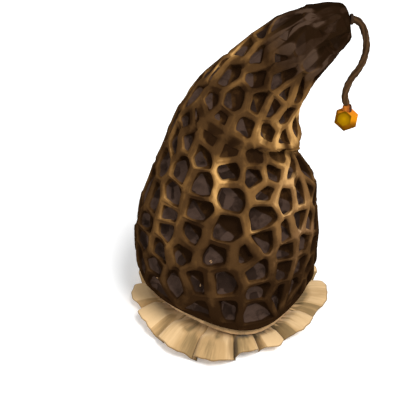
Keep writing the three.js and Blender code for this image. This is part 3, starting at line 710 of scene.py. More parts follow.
def dig_pit(skin, corners, loop, crest_ring, seed, fold, wider, settings):
    """One pit inside its crest line: rounded ribs, sloping walls and an uneven floor."""
    here = corners[loop[0]][0]
    flat = np.array([(here + turned_by(here, corners[c][0]), corners[c][1]) for c in loop])
    middle = flat.mean(axis=0)
    t = float(t_of(middle[1]))
    scale = float(degree_size(t))
    crests = [skin.points[i] for i in crest_ring]
    edge = np.array([(turned_by(middle[0], p[0]), p[1] - middle[1]) for p in crests]) * scale
    angles, outer, mouth = pit_mouth(flat, middle, scale, edge, seed, fold, wider, settings)
    size = float(mouth.mean())
    shallow = 1 - TIP_PITS_SHALLOWER * float(eased(t, *TIP_PITS_FADE))
    soft = float(eased(t, *TIP_PITS_SOFT))
    depth = min(settings.pit_depth / MM, size * STEEPEST_PIT) * shallow
    depth *= 1 + PIT_DEPTH_VARIES * scatter(seed)
    depth *= 1 - CONE_PITS_SHALLOWER * float(eased(t, *CONE_PITS))
    if fold:
        depth *= FOLD_PIT_SHALLOWER
    # The lit side gets a painted highlight at its edge and shows its floor sooner; the far side gets a
    # painted shadow.
    lit = 0.5 + 0.5 * np.cos(angles - LIP_SIDE)
    aim = FLOOR_MOVES * min(1, size / FULL_DEPTH_SIZE) * shallow
    unit = np.stack([np.cos(angles), np.sin(angles)], axis=1)
    dark = dark_from(middle[0], t, seed)
    painted_highlight = lit ** 2 * (EDGE_LIGHT + EDGE_VARIES * scatter(seed * 2.9 + 1))
    painted_highlight *= EDGE_LOW + (1 - EDGE_LOW) * float(eased(t, *EDGE_SETS_IN))
    fall = np.array([p[2] for p in crests])
    kept = np.array([skin.marks["crest"][i] for i in crest_ring])

    def ring(radius, drop, moved, crest, deep):
        spots = middle + (unit * radius[:, None] + aim * moved) / scale
        far = -np.cos(angles - LIP_SIDE) * radius / size
        floors = eased(deep, FLOOR_SETS_IN - FLOOR_IN_SOONER * lit, FLOOR_FULL - FLOOR_FULL_SOONER * lit)
        floors = floors * (1 - DARK_SHARE * eased(far, dark, dark + DARK_SOFT))
        floors = floors * (FOLD_FLOOR if fold else 1 - TIP_FLOOR_LOSES * soft)
        # Painted highlight at the lit edge; in the fold, painted shade inside the mouth instead.
        painted_edge_light = peak(radius / mouth, *EDGE_PLACE) * painted_highlight
        if fold:
            painted_edge_light = FOLD_EDGE * eased(deep, *FOLD_EDGE_FROM) * np.ones_like(lit)
        crest = max(crest, FOLD_CREST if fold else TIP_CREST * soft)
        return [
            skin.add((d % 360, v, z), crest=crest * k, floor=f, lip=side, edge=e)
            for (d, v), z, f, k, side, e in zip(spots, drop, floors, kept, lit, painted_edge_light)
        ]

    rings = [crest_ring]
    for share, drop in RIB_RINGS:
        left = 1 - (1 - MOUTH_KEEPS) * share
        sunk = drop * min(1, depth / SHALLOW_PIT) + fall * left
        rings.append(ring(outer + (mouth - outer) * share, sunk, 0, left, 0))
    for share, deep in PIT_RINGS:
        sunk = depth * deep + fall * MOUTH_KEEPS * (1 - deep)
        rings.append(ring(mouth * share, sunk, deep * deep, max(MOUTH_KEEPS * (1 - 2 * deep), 0), deep))
    skin.climb(rings)
    bottom = middle + aim / scale
    names = "floor", "edge", "crest"
    same = {name: np.mean([skin.marks[name][i] for i in rings[-1]]) for name in names}
    skin.fan(rings[-1], skin.add((bottom[0] % 360, bottom[1], depth * PIT_MIDDLE), lip=0.5, **same))


def glow(direction, t):
    """Painted light and shade on the ribs, from 0 by the rim and tip to 1 on the lit side of the body."""
    light = PAINTED_LIGHT_LEAST + PAINTED_LIGHT_GAINS * eased(t, *PAINTED_LIGHT_RISES) * (1 - eased(t, *PAINTED_LIGHT_FALLS))
    light += patches(PAINTED_LIGHT_PATCHES, direction, t)
    shade = eased(t, *FOLD_SHADE_SETS_IN) * (1 - eased(t, *FOLD_SHADE_FADES))
    light -= FOLD_SHADE * facing(direction, *FOLD_SHADE_SPAN) * shade
    return np.clip(light, 0, 1)


def hollow_wall(direction, rise):
    """The wall of the head hollow at a height over the rim."""
    rim = cap_surface(direction, 0)
    shrink = 1 + np.interp(rise, HOLLOW[:, 0], HOLLOW[:, 1]) / RIM_RADIUS
    level = rim_rise(direction) * (1 - eased(rise, *HOLLOW_LEVEL))
    return np.stack([rim[:, 0] * shrink, rim[:, 1] * shrink, RIM_HEIGHT + rise + level], axis=1)


def close_cap(skin, place, around, top, bottom):
    """Closes the tip, rolls the foam in under the rim and lines the hollow for the head."""
    def extra(points, **marks):
        place.extend(points)
        return [skin.add((0, 0, 0), **marks) for _ in points]

    tip = {"tip": 1.0, "crest": 0.5}
    rings = [top] + [extra(cap_surface(around[top], height), **tip) for height in TIP_RINGS]
    skin.climb(rings)
    skin.fan(rings[-1], extra([cap_surface(0.0, STATIONS[-1, 0])], **tip)[0])

    around = around[bottom]
    rings = [bottom]
    for height in HEM_RINGS:
        rings.append(extra(cap_surface(around, height), crest=1.0, glow=HEM_GLOW))
    for share, dip in RIM_ROLL:
        edge = cap_surface(around, 0) * (1 - share) + hollow_wall(around, 0) * share
        rings.append(extra(edge - (0, 0, dip), crest=1.0, glow=ROLL_GLOW))
    for rise in np.linspace(0, 1, HOLLOW_RINGS) ** HOLLOW_SPACING * HOLLOW[-1, 0]:
        rings.append(extra(hollow_wall(around, rise), inside=1.0))
    for above, below in zip(rings, rings[1:]):
        skin.band(below, above)
    last = rings[-1]
    roof = extra([np.mean([place[i] for i in last], axis=0) + (0, 0, ROOF_BULGE)], inside=1.0)[0]
    skin.faces.extend((last[(i + 1) % len(last)], v, roof) for i, v in enumerate(last))


def cloudy(point, waves_per_mm, shift, share):
    """Cloudy noise at a point, from -share to share."""
    return share * noise.noise(Vector(point) * waves_per_mm + Vector(shift))


def cap_mesh(settings):
    """The whole cap: pits all round, a plain tip, a rolled rim and the hollow."""
    skin = Skin("crest", "floor", "lip", "edge", "glow", "rosy", "tip", "chip", "inside")
    corners, loops = shared_corners(pit_cells(pit_centres()))
    rings = rib_points(skin, corners, loops)
    for seed, (loop, crest_ring) in enumerate(zip(loops, rings)):
        fold = len(FRONT_PITS) <= seed < len(FRONT_PITS) + len(FOLD_PITS)
        wider = FRONT_PITS[seed][2] if seed < len(FRONT_PITS) and len(FRONT_PITS[seed]) > 2 else 0
        dig_pit(skin, corners, loop, crest_ring, seed, fold, wider, settings)

    flat = np.array(skin.points, float)
    on_crest = sorted(set(sum(rings, [])), key=lambda i: flat[i, 0])
    top, bottom = (
        [i for i in on_crest if abs(flat[i, 1] - float(v_of(t))) < 1e-6] for t in (PITS_TO, PITS_FROM)
    )
    direction, t = flat[:, 0], t_of(flat[:, 1])
    normal = cap_normal(direction, t)
    place = list(cap_surface(direction, t) - normal * flat[:, 2:3])
    rosy = facing(direction, *ROSY_SPAN) * (1 - eased(t, *ROSY_ENDS))
    # Painted light and shade on the ribs, by where they are on the cap.
    skin.marks["glow"] = list(glow(direction, t))
    skin.marks["rosy"] = list(rosy * (1 - ROSY_FADES * eased(t, *ROSY_FADES_FROM)))
    skin.marks["tip"] = list(eased(t, *TIP_SKIN_FROM))
    for chip_direction, chip_t, how_many in CHIPS:
        gap = np.hypot(turned_by(chip_direction, direction), flat[:, 1] - float(v_of(chip_t)))
        for i in np.argsort(gap)[:how_many]:
            skin.marks["chip"][int(i)] = 1.0
    close_cap(skin, place, direction, top, bottom)

    # Uneven skin: lumps on the floors, a slight waver everywhere.
    for i, way in enumerate(normal):
        lump = sum(cloudy(place[i], *row) for row in LUMPS) * settings.roughness / MM
        place[i] = place[i] + way * (lump * skin.marks["floor"][i] + cloudy(place[i], *WAVER))
    return skin.made("morel_cap", place)


# Materials

MIX_FIRST, MIX_SECOND, MIX_RESULT = 6, 7, 2  # the Mix node's colour sockets, which share their names

# Tones that aren't among the settings: rosy ribs, walls in painted light, the foam's pores and its bare
# chips.
ROSY_WARM, ROSY_LIGHT, LIT_WALL = tone(118, 87, 59), tone(186, 148, 110), tone(60, 39, 19)
FOAM_PORES, BARE_FOAM = tone(58, 42, 30), tone(158, 124, 88)
# Stops of a ramp, each a level and its tone.
TIP_SKIN = [
    (0.28, tone(24, 14, 6)), (0.46, tone(31, 19, 9)), (0.6, tone(44, 30, 20)), (0.74, tone(68, 52, 41)),
]
RUBBER = [(0.3, tone(36, 24, 15)), (0.7, tone(58, 41, 27))]
# Painted shade on the bead's cup: lighter on one side, darker across it towards the other.
RESIN_PAINTED_SHADE = [(-0.5, tone(188, 108, 34)), (0.1, tone(140, 76, 26)), (0.5, tone(66, 34, 14))]


def sums(operation, swapped=False):
    """A method that joins a level with another level or a number by a Math node."""
    def method(self, other):
        return self.joined(operation, other, self) if swapped else self.joined(operation, self, other)
    return method


class Level:
    """A number that varies over a surface. Sums of levels add the Math nodes they need."""

    def __init__(self, paint, socket):
        self.paint = paint
        self.socket = socket

    def joined(self, operation, first, second):
        node = self.paint.node("ShaderNodeMath", {"operation": operation}, {0: first, 1: second})
        return Level(self.paint, node.outputs[0])

    __add__, __radd__ = sums("ADD"), sums("ADD", True)
    __sub__, __rsub__ = sums("SUBTRACT"), sums("SUBTRACT", True)
    __mul__, __rmul__ = sums("MULTIPLY"), sums("MULTIPLY", True)
    __pow__ = sums("POWER")

    def between(self, low, high):
        """0 below low, 1 above high, smooth between them."""
        node = self.paint.node(
            "ShaderNodeMapRange", {"interpolation_type": "SMOOTHSTEP"},
            {"Value": self, "From Min": low, "From Max": high},
        )
        return Level(self.paint, node.outputs["Result"])


class Paint:
    """A material under construction."""

    def __init__(self, name, **constants):
        self.material = bpy.data.materials.new(name)
        self.material.use_nodes = True
        self.nodes = self.material.node_tree.nodes
        self.links = self.material.node_tree.links
        self.shader = self.nodes["Principled BSDF"]
        for socket, value in constants.items():
            self.shader.inputs[socket.replace("_", " ")].default_value = value

    def put(self, socket, value):
        if isinstance(value, Level):
            value = value.socket
        if isinstance(value, bpy.types.NodeSocket):
            self.links.new(value, socket)
        else:
            socket.default_value = (*value, 1) if socket.type == "RGBA" else value

    def wear(self, **values):
        """Sets the shader's own sockets to levels or colours that vary."""
        for name, value in values.items():
            self.put(self.shader.inputs[name.replace("_", " ")], value)

    def node(self, kind, settings=None, inputs=None):
        """Adds a node: its settings first, then the values or links of its sockets."""
        node = self.nodes.new(kind)
        for name, value in (settings or {}).items():
            setattr(node, name, value)
        for key, value in (inputs or {}).items():
            self.put(node.inputs[key], value)
        return node

    def marks(self, *names):
        """Values that the mesh holds at each vertex."""
        nodes = [self.node("ShaderNodeAttribute", {"attribute_name": name}) for name in names]
        return [Level(self, node.outputs["Fac"]) for node in nodes]

    def mapped(self, where, **changes):
        """A place moved by a change of a Mapping node, such as its Scale."""
        return self.node("ShaderNodeMapping", None, {"Vector": where, **changes}).outputs[0]

    def place(self, scale=(1, 1, 1), lean=0):
        """Where on the piece, leaned back about Y and then stretched by scale."""
        where = self.node("ShaderNodeTexCoord").outputs["Object"]
        if lean:
            where = self.mapped(where, Rotation=(0, -lean, 0))
        return self.mapped(where, Scale=scale)

    def grain(self, scale, detail=3.0, rough=0.5, where=None):
        """Cloudy noise from 0 to 1."""
        inputs = {"Scale": scale, "Detail": detail, "Roughness": rough, "Vector": where or self.place()}
        return Level(self, self.node("ShaderNodeTexNoise", None, inputs).outputs["Fac"])

    def mix(self, share, first, second):
        """A colour between two, by share."""
        node = self.node("ShaderNodeMix", {"data_type": "RGBA"})
        for socket, value in (("Factor", share), (MIX_FIRST, first), (MIX_SECOND, second)):
            self.put(node.inputs[socket], value)
        return node.outputs[MIX_RESULT]

    def ramp(self, share, stops):
        """A colour that passes smoothly through stops, each a share and its colour."""
        colour = stops[0][1]
        for (low, _), (high, above) in zip(stops, stops[1:]):
            colour = self.mix(share.between(low, high), colour, above)
        return colour

    def facets(self, scale, where=None):
        """Flat patches, each of its own lightness."""
        inputs = {"Scale": scale, "Smoothness": 0.35, "Vector": where or self.place()}
        node = self.node("ShaderNodeTexVoronoi", {"feature": "SMOOTH_F1"}, inputs)
        return Level(self, node.outputs["Color"])

    def bump(self, height, distance, strength=1.0):
        inputs = {"Height": height, "Distance": distance, "Strength": strength}
        node = self.node("ShaderNodeBump", None, inputs)
        self.links.new(node.outputs[0], self.shader.inputs["Normal"])

    def on(self, piece):
        piece.data.materials.clear()
        piece.data.materials.append(self.material)


def tip_finish(paint, cloud):
    """The tip's own skin: long creases, near-black to grey-brown. Returns its creases and its colour."""
    creases = paint.facets(85, paint.place((1, 1, 0.26), TIP_LEAN))
    return creases, paint.ramp(creases + 0.5 * (cloud - 0.5), TIP_SKIN)


def cap_finish(settings):
    """Dyed foam with painted light and shade: lighter ribs with painted highlights, near-black painted
    shade on the walls, grey-brown floors.
    """
    paint = Paint("morel_foam", Specular_IOR_Level=0.0)
    crest, floor, lip, edge, light = paint.marks("crest", "floor", "lip", "edge", "glow")
    rosy, tip, chip, inside = paint.marks("rosy", "tip", "chip", "inside")
    cloud, patch = paint.grain(34, detail=4), paint.grain(95, detail=4, rough=0.6)
    streak = paint.grain(11, where=paint.place((6, 6, 1)))
    # Painted light and shade on the ribs: the painted light mark with noise, a painted highlight at the
    # lit edges, painted shade on the unlit side by the mouths.
    shade = light + 0.8 * (cloud - 0.5) + 0.45 * (streak - 0.5) + 0.2 * (patch - 0.5)
    shade = shade + 0.36 * edge - 0.55 * (1 - crest) * (1 - lip)
    rib = paint.ramp(shade, (
        (0.02, settings.rib_dark), (0.32, settings.rib_mid),
        (0.66, paint.mix(rosy * 0.8, settings.rib_warm, ROSY_WARM)),
        (1.0, paint.mix(rosy * 0.8, settings.rib_light, ROSY_LIGHT)),
    ))
    creases, tip_skin = tip_finish(paint, cloud)
    rib = paint.mix(tip * 0.9, rib, tip_skin)
    # Walls: painted shade, lighter where the painted light is, and taking the ribs' colour on the lit
    # lips.
    wall = paint.ramp(patch + 0.6 * (shade - 0.26), ((0.35, settings.wall), (0.8, LIT_WALL)))
    wall = paint.mix(lip.between(0.7, 1.0) * 0.4, wall, rib)
    body = paint.mix(crest.between(0.12, 0.42), wall, rib)
    facets = paint.facets(62)
    stops = (0.3, settings.floor_dark), (0.6, settings.floor)
    floors = paint.mix(tip * 0.9, paint.ramp(facets + 0.7 * (patch - 0.5), stops), tip_skin)
    spread = (floor + 0.34 * (facets - 0.5)).between(0.3, 0.62) * floor.between(0, 0.15)
    foam = paint.mix(paint.grain(600, detail=2).between(0.4, 0.65), settings.inside, FOAM_PORES)
    colour = paint.mix(spread, body, floors)
    colour = paint.mix(chip.between(0.3, 0.55) * 0.9, colour, BARE_FOAM)
    paint.wear(Base_Color=paint.mix(inside, colour, foam), Roughness=0.62 + 0.25 * patch)
    relief = paint.grain(420, rough=0.6) * 0.5 + paint.grain(90) * 1.2
    paint.bump(relief + facets * 0.8 + tip * creases * 3, 0.0009, 0.6)
    return paint


def stands_for(piece, paint, node):
    """Gives a piece its material, hangs it under the root body and hides the solid that it stands for."""
    paint.on(piece)
    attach(piece, "root")
    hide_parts(node)


class MOREL_OT_cap(bpy.types.Operator):
    """Model the foam cap with its ribs, pits, fold and hollow."""

    bl_idname = "morel.cap"
    bl_label = "Foam cap"

    def execute(self, context):
        settings = context.scene.morel_cap
        stands_for(cap_mesh(settings), cap_finish(settings), "cap_shell")
        return {"FINISHED"}


# Trim at the rim

def level_way(points):
    """The outward way at each point, level with the floor."""
    out = points * (1, 1, 0)
    return out / np.linalg.norm(out, axis=1, keepdims=True)


def hoop(name, sections):
    """A closed ring from its sections, each a closed loop that is anticlockwise seen along the ring."""
    skin = Skin()
    rings = [[skin.add(point) for point in section] for section in sections]
    skin.climb(rings + rings[:1])
    return skin.made(name)


class MOREL_OT_welt(bpy.types.Operator):
    """Model the fabric piping between the cap and the brim."""

    bl_idname = "morel.welt"
    bl_label = "Welt"

    def execute(self, context):
        directions = np.arange(0, 360, 0.75)
        rim = cap_surface(directions, 0)
        out = level_way(rim)
        middle = rim - out * WELT_INSET - (0, 0, WELT_GAP + WELT_RADIUS)
        angles = np.radians(np.arange(0, 360, 20))
        sections = []
        for direction, centre, way in zip(directions, middle, out):
            turn = np.radians(direction)
            gathers = (much * np.sin(turn * n + slant * angles) for n, slant, much in WELT_GATHERS)
            high = (WELT_RADIUS - WELT_SPARE) * (1 + sum(gathers))
            wide = high * (1 + WELT_WIDER * float(facing(direction, *WELT_WIDE_SPAN)))
            section = np.outer(wide * np.cos(angles), way) + np.outer(high * np.sin(angles), (0, 0, 1))
            sections.append(centre + section)
        cloth = cloth_finish("welt_cloth", context.scene.morel_brim.welt, 0.62)
        stands_for(hoop("welt", sections), cloth, "rim_welt")
        return {"FINISHED"}


class MOREL_OT_band(bpy.types.Operator):
    """Model the sweatband sewn inside the rim."""

    bl_idname = "morel.band"
    bl_label = "Sweatband"

    def execute(self, context):
        directions = np.arange(0, 360, 1.5)
        near, far = BAND_GAP, BAND_GAP + BAND_THICK
        inner = far - BAND_EDGE_DEEP
        shape = [(BAND_FROM, near), (BAND_TO - BAND_EDGE_HIGH, near)]
        shape += [(BAND_TO, near + BAND_EDGE_DEEP), (BAND_TO, inner)]
        for rise in range(BAND_TO - 2, BAND_FROM + 2, -3):
            shape.append((rise, far + BAND_WAVE_HIGH * math.sin(rise * BAND_WAVES)))
        shape += [(BAND_FROM + BAND_EDGE_HIGH, far), (BAND_FROM, inner)]
        walls = []
        for rise, inward in shape:
            wall = hollow_wall(directions, rise)
            walls.append(wall - level_way(wall) * inward)
        band = hoop("sweatband_piece", np.stack(walls, axis=1))
        cloth = cloth_finish("band_cloth", context.scene.morel_brim.band, 0.5)
        stands_for(band, cloth, "sweatband")
        return {"FINISHED"}


def cloth_finish(name, colour, dark):
    """Plain woven cloth with faint darker patches."""
    paint = Paint(name, Roughness=0.92, Specular_IOR_Level=0.2, Sheen_Weight=0.15)
    low = tuple(channel * dark for channel in colour)
    patch = paint.grain(60, detail=4) + 0.3 * paint.grain(900, detail=2) - 0.15
    paint.wear(Base_Color=paint.ramp(patch, ((0.3, low), (0.62, colour))))
    paint.bump(paint.grain(1400, detail=2) + 0.5 * paint.grain(300), 0.0003, 0.5)
    return paint


# Gathered brim

def smooth_line(points, shares):
    """A smooth curve through the points, read at shares from 0 to 1."""
    points = np.asarray(points, float)
    padded = np.vstack([2 * points[0] - points[1], points, 2 * points[-1] - points[-2]])
    at = np.clip(np.asarray(shares, float), 0, 1) * (len(points) - 1)
    i = np.minimum(at.astype(int), len(points) - 2)
    s = (at - i)[:, None]
    a, b, c, d = (padded[i + k] for k in range(4))
    bend, twist = 2 * a - 5 * b + 4 * c - d, 3 * b - a - 3 * c + d
    return 0.5 * (2 * b + (c - a) * s + bend * s**2 + twist * s**3)


def brim_lines():
    """One column of values per column of the brim, with its rows in this order: even direction, folded
    direction, height, reach, fold, flute and share of the way across the flute."""
    steps = np.arange(BRIM_COLUMNS) / BRIM_COLUMNS
    columns = []
    for i, (start, reach, fold) in enumerate(FLUTES):
        before, after = FLUTES[i - 1], FLUTES[(i + 1) % len(FLUTES)]
        wide = (after[0] - start) % 360
        leading = 1 - eased(steps, *FOLD_GIVES_WAY)
        folds = leading * fold + (1 - leading) * after[2]
        shape = smooth_line(OPEN_FLUTE, steps) * (1 - folds[:, None])
        shape += smooth_line(FOLDED_FLUTE, steps) * folds[:, None]
        across = np.clip(shape[:, 0], 0, 1)
        near = np.where(across < 0.5, before[1], after[1])
        columns.append(np.stack([
            start + wide * steps, start + wide * shape[:, 0], np.clip(shape[:, 1], 0, 1.02),
            reach + (near - reach) * np.abs(across - 0.5), folds, np.full(BRIM_COLUMNS, i), across,
        ]))
    return np.concatenate(columns, axis=1)


def waves(table, a):
    """The waves of a table added up, at angles a."""
    return sum(high * np.sin(count * a + turn) for count, high, turn in table)


def brim_middle(settings):
    """The middle of the cloth, rows from the seam outwards; each column's height and place across."""
    even, folded, height, reach, folds, flute, across = brim_lines()
    lift = np.array([1 + FLUTE_VARIES * scatter(i * 5 + 2) for i in flute])
    petal = 1 - np.sin(math.pi * across ** 1.2) ** 0.7  # 1 in a valley, 0 over a crest
    tuck = BRIM_TUCK * ((1 - folds) * petal + folds * BRIM_TUCK_FOLDED * (1 - height))
    rows = []
    for s in np.linspace(0, 1, BRIM_ROWS):
        open_up = eased(s, *BRIM_OPENS)
        direction = even + (folded - even) * open_up
        direction = direction + s * waves(SWAY, np.radians(direction))
        inner = np.hypot(*cap_surface(direction, 0)[:, :2].T) + BRIM_INNER
        start = BRIM_SEAM + rim_rise(direction)
        crest = start + ((settings.crest - settings.cloth / 2) / MM - start) * s
        crest = crest + BRIM_BULGE * math.sin(math.pi * s ** 0.8)
        valley = start + (BRIM_VALLEY - start) * s ** 1.2
        z = valley + (crest * lift - valley) * height * open_up
        z = z + (crest - valley) * GATHERED_LIFT * (1 - open_up) * s
        a = np.radians(direction)
        z = z + waves(GATHERS, a) * max(0, 1 - s / GATHERS_TO) ** 0.8 * eased(s, *GATHERS_FROM)
        r = inner + (reach - inner) * s - tuck * s * s + s * waves(EDGE_WAVES, a)
        rows.append(np.stack([r * np.cos(a), r * np.sin(a), z], axis=1))
    return np.array(rows), height, across


def brim_marks(middle, normal, across):
    """Painted shade at each point: how much it faces away from the light, the shade in the creases and the
    patches of painted shade and light.
    """
    angles = np.arctan2(middle[:, :, 1], middle[:, :, 0])
    sideways = normal[:, :, 1] * np.cos(angles) - normal[:, :, 0] * np.sin(angles)
    away = np.clip(-sideways * (LIGHT_FROM[0] * np.cos(angles) + LIGHT_FROM[1] * np.sin(angles)), 0, 1)
    around, share = np.degrees(angles), np.linspace(0, 1, len(middle))
    outer = eased(share, *OUTER_FROM)[:, None]
    parts = {"all": 1, "outer": outer, "inner": 1 - outer}
    painted_shading = sum(much * facing(around, at, half) * parts[part] for much, at, half, part in PAINTED_SHADING)
    crease_shade = np.outer(peak(share, *CREASE[0]), peak(across, *CREASE[1]))
    for much, at, half in CREASE_FAINTER:
        crease_shade = crease_shade * (1 - much * facing(around, at, half))
    dark = np.outer(peak(share, *DARK_CREASE_PLACE[0]), peak(across, *DARK_CREASE_PLACE[1]))
    crease_shade += DARK_CREASE * dark * facing(around, *DARK_CREASE_SPAN)
    return {"away": away, "crease_shade": crease_shade, "painted_shading": painted_shading}


def brim_mesh(settings):
    """The gathered strip, with its width from seam to hem and the length of its hem pulled straight."""
    middle, height, across = brim_middle(settings)
    along = np.roll(middle, -1, axis=1) - np.roll(middle, 1, axis=1)
    normal = np.cross(np.gradient(middle, axis=0), along)
    normal /= np.linalg.norm(normal, axis=2, keepdims=True)
    half = settings.cloth / MM / 2
    rows, columns = middle.shape[:2]
    hem = np.linalg.norm(np.roll(middle[-1], -1, axis=0) - middle[-1], axis=1)
    length = float(hem.sum())
    width = float(np.linalg.norm(np.diff(middle, axis=0), axis=2).sum(axis=0).mean())
    turn = np.concatenate([[0], np.cumsum(hem)[:-1]]) / length * 2 * math.pi
    straight = np.array([np.cos(turn), np.sin(turn)]) * length / (2 * math.pi)
    marks = brim_marks(middle, normal, across)
    skin = Skin("height", "out", *marks)
    weave = []

    def sheet(side):
        rings = []
        for i in range(rows):
            ring = []
            thin = 1 - HEM_THINNER * max(0, (i - rows + 3) / 2)
            for j in range(columns):
                point = middle[i, j] + normal[i, j] * half * side * thin
                point[2] = max(point[2], BRIM_LOWEST if side < 0 else half)
                here = {name: float(values[i, j]) for name, values in marks.items()}
                ring.append(skin.add(point, height=float(height[j]), out=i / (rows - 1), **here))
            rings.append(ring)
            weave.extend(np.stack([*straight, np.full(columns, i / (rows - 1) * width)], axis=1))
        return rings

    upper, lower = sheet(1), sheet(-1)
    for i in range(rows - 1):
        skin.band(upper[i + 1], upper[i])
        skin.band(lower[i], lower[i + 1])
    skin.band(upper[0], lower[0])
    skin.band(lower[-1], upper[-1])
    brim = skin.made("gathered_brim")
    attribute = brim.data.attributes.new("weave", "FLOAT_VECTOR", "POINT")
    attribute.data.foreach_set("vector", (np.array(weave) * MM).astype(np.float32).ravel())
    return brim, width * MM, length * MM


def brim_finish(settings):
    """Cream cloth: fine streaks along the gathers, painted olive shade in the folds and by the rim, a
    darker hem.
    """
    paint = Paint("brim_cloth", Roughness=0.9, Specular_IOR_Level=0.12, Sheen_Weight=0.1)
    height, out, away, crease_shade, painted_shading = paint.marks("height", "out", "away", "crease_shade", "painted_shading")
    weave = paint.node("ShaderNodeAttribute", {"attribute_name": "weave"}).outputs["Vector"]

    def streaks(scale, size):
        return paint.grain(size, detail=4, rough=0.6, where=paint.mapped(weave, Scale=scale))

    broad, fine = streaks((4, 4, 0.8), 11), streaks((30, 30, 3), 12)
    smudge = streaks((4, 4, 1.6), 12)
    # Painted shade: in the creases by the rim, on flute sides turned from the light, in the valleys, and
    # the patches of painted shade and light.
    valley = (1 - height).between(0.7, 1)
    dark = (crease_shade * (0.5 + smudge)).between(0.25, 0.8) * 0.42 + away.between(0.04, 0.42) * 0.56
    dark = dark + valley * 0.5 + 0.22 * (fine - 0.5) + 1.1 * (broad - 0.5) + 0.1 + painted_shading
    cloth = paint.ramp(dark, (
        (0.05, settings.light), (0.35, tone(182, 148, 102)), (0.62, tone(136, 112, 75)),
        (1.0, settings.dark),
    ))
    paint.wear(Base_Color=paint.mix(out.between(0.955, 1.0) * 0.8, cloth, settings.hem))
    paint.bump(broad * 1.5 + fine + 0.2 * paint.grain(1500, detail=2), 0.0008, 0.7)
    return paint


class MOREL_OT_brim(bpy.types.Operator):
    """Model the gathered brim."""

    bl_idname = "morel.brim"
    bl_label = "Brim"

    def execute(self, context):
        settings = context.scene.morel_brim
        brim, width, length = brim_mesh(settings)
        stands_for(brim, brim_finish(settings), "brim_ruffle")
        return {"FINISHED"}


# Stalk, its ring and the bead

def stalk_path(count):
    """Points along the stalk, in millimetres from the middle of the rim."""
    line = smooth_line([(x, 0, z) for x, z in STALK], np.linspace(0, 1, 800))
    run = np.concatenate([[0], np.cumsum(np.linalg.norm(np.diff(line, axis=0), axis=1))])
    even = np.linspace(0, run[-1], count)
    return np.stack([np.interp(even, run, line[:, k]) for k in range(3)], axis=1), float(run[-1])


class MOREL_OT_stalk(bpy.types.Operator):
    """Model the bark-brown cord that carries the bead."""

    bl_idname = "morel.stalk"
    bl_label = "Stalk"

    def execute(self, context):
        settings = context.scene.morel_stalk
        line, length = stalk_path(STALK_POINTS)
        way = np.gradient(line, axis=0)
        way /= np.linalg.norm(way, axis=1, keepdims=True)
        side = np.array([0.0, 1.0, 0.0])
        skin = Skin("groove", "along")
        angles = np.radians(np.arange(0, 360, 12))
        rings = []
        for share, point, ahead in zip(np.linspace(0, 1, len(line)), line, way):
            up = np.cross(side, ahead)
            strands = 0.5 + 0.5 * np.cos(STALK_STRANDS * angles + share * STALK_TWIST)
            size = settings.diameter / MM / 2 * (1 + waves(STALK_KNOTS, share))
            size = size * (1 - STALK_GROOVE + STALK_GROOVE * strands)
            rings.append([
                skin.add(point + side * r * math.cos(a) + up * r * math.sin(a), groove=g, along=share)
                for r, a, g in zip(size, angles, strands)
            ])
        skin.climb(rings)
        skin.faces += [tuple(reversed(rings[0])), tuple(rings[-1])]
        stalk = skin.made("stalk")
        stands_for(stalk, bark_finish(settings), "tip_stalk")
        return {"FINISHED"}


def bark_finish(settings):
    """Twisted cord with the look of bark: painted shade between its strands, lighter towards the bead."""
    paint = Paint("bark_cord", Roughness=0.85, Specular_IOR_Level=0.05)
    fibre = paint.grain(160, detail=4, where=paint.place((1, 1, 0.3)))
    dark = tuple(channel * 0.34 for channel in settings.bark)
    light = tuple(min(1, channel * 1.5) for channel in settings.bark)
    groove, along = paint.marks("groove", "along")
    # groove is low between the strands, where the colour gets painted shade.
    shade = 0.5 * groove + 0.6 * fibre - 0.05 + 0.25 * along
    paint.wear(Base_Color=paint.ramp(shade, ((0.2, dark), (0.6, settings.bark), (1.0, light))))
    paint.bump(fibre, 0.0004, 0.7)
    return paint


def pick(piece):
    """Selects one piece alone and makes it active."""
    bpy.ops.object.select_all(action="DESELECT")
    piece.select_set(True)
    bpy.context.view_layer.objects.active = piece


def turned_piece(name, shape, steps=48):
    """A profile of radius and height spun about the Z axis, at the origin."""
    mesh = bpy.data.meshes.new(name)
    count = len(shape)
    painted_edge_light = [(i, (i + 1) % count) for i in range(count)]
    mesh.from_pydata([(r * MM, 0, z * MM) for r, z in shape], painted_edge_light, [])
    piece = bpy.data.objects.new(name, mesh)
    bpy.context.scene.collection.objects.link(piece)
    pick(piece)
    bpy.ops.object.mode_set(mode="EDIT")
    bpy.ops.mesh.select_all(action="SELECT")
    bpy.ops.mesh.spin(steps=steps, angle=2 * math.pi, center=(0, 0, 0), axis=(0, 0, 1))
    bpy.ops.mesh.select_all(action="SELECT")
    bpy.ops.mesh.remove_doubles(threshold=1e-6)
    bpy.ops.mesh.normals_make_consistent(inside=False)
    bpy.ops.object.mode_set(mode="OBJECT")
    return piece


def soften(piece, width, angle=40):
    """Rounds the piece's sharp edges."""
    bevel = piece.modifiers.new("bevel", "BEVEL")
    bevel.width = width
    bevel.segments = 3
    bevel.limit_method = "ANGLE"
    bevel.angle_limit = math.radians(angle)
    pick(piece)
    bpy.ops.object.modifier_apply(modifier=bevel.name)
    bpy.ops.object.shade_smooth_by_angle(angle=math.radians(angle))


def part_place(x, z):
    """A point in the middle plane, from millimetres from the middle of the rim to metres."""
    return Vector(((x + RIM_MIDDLE[0]) * MM, RIM_MIDDLE[1] * MM, z * MM))


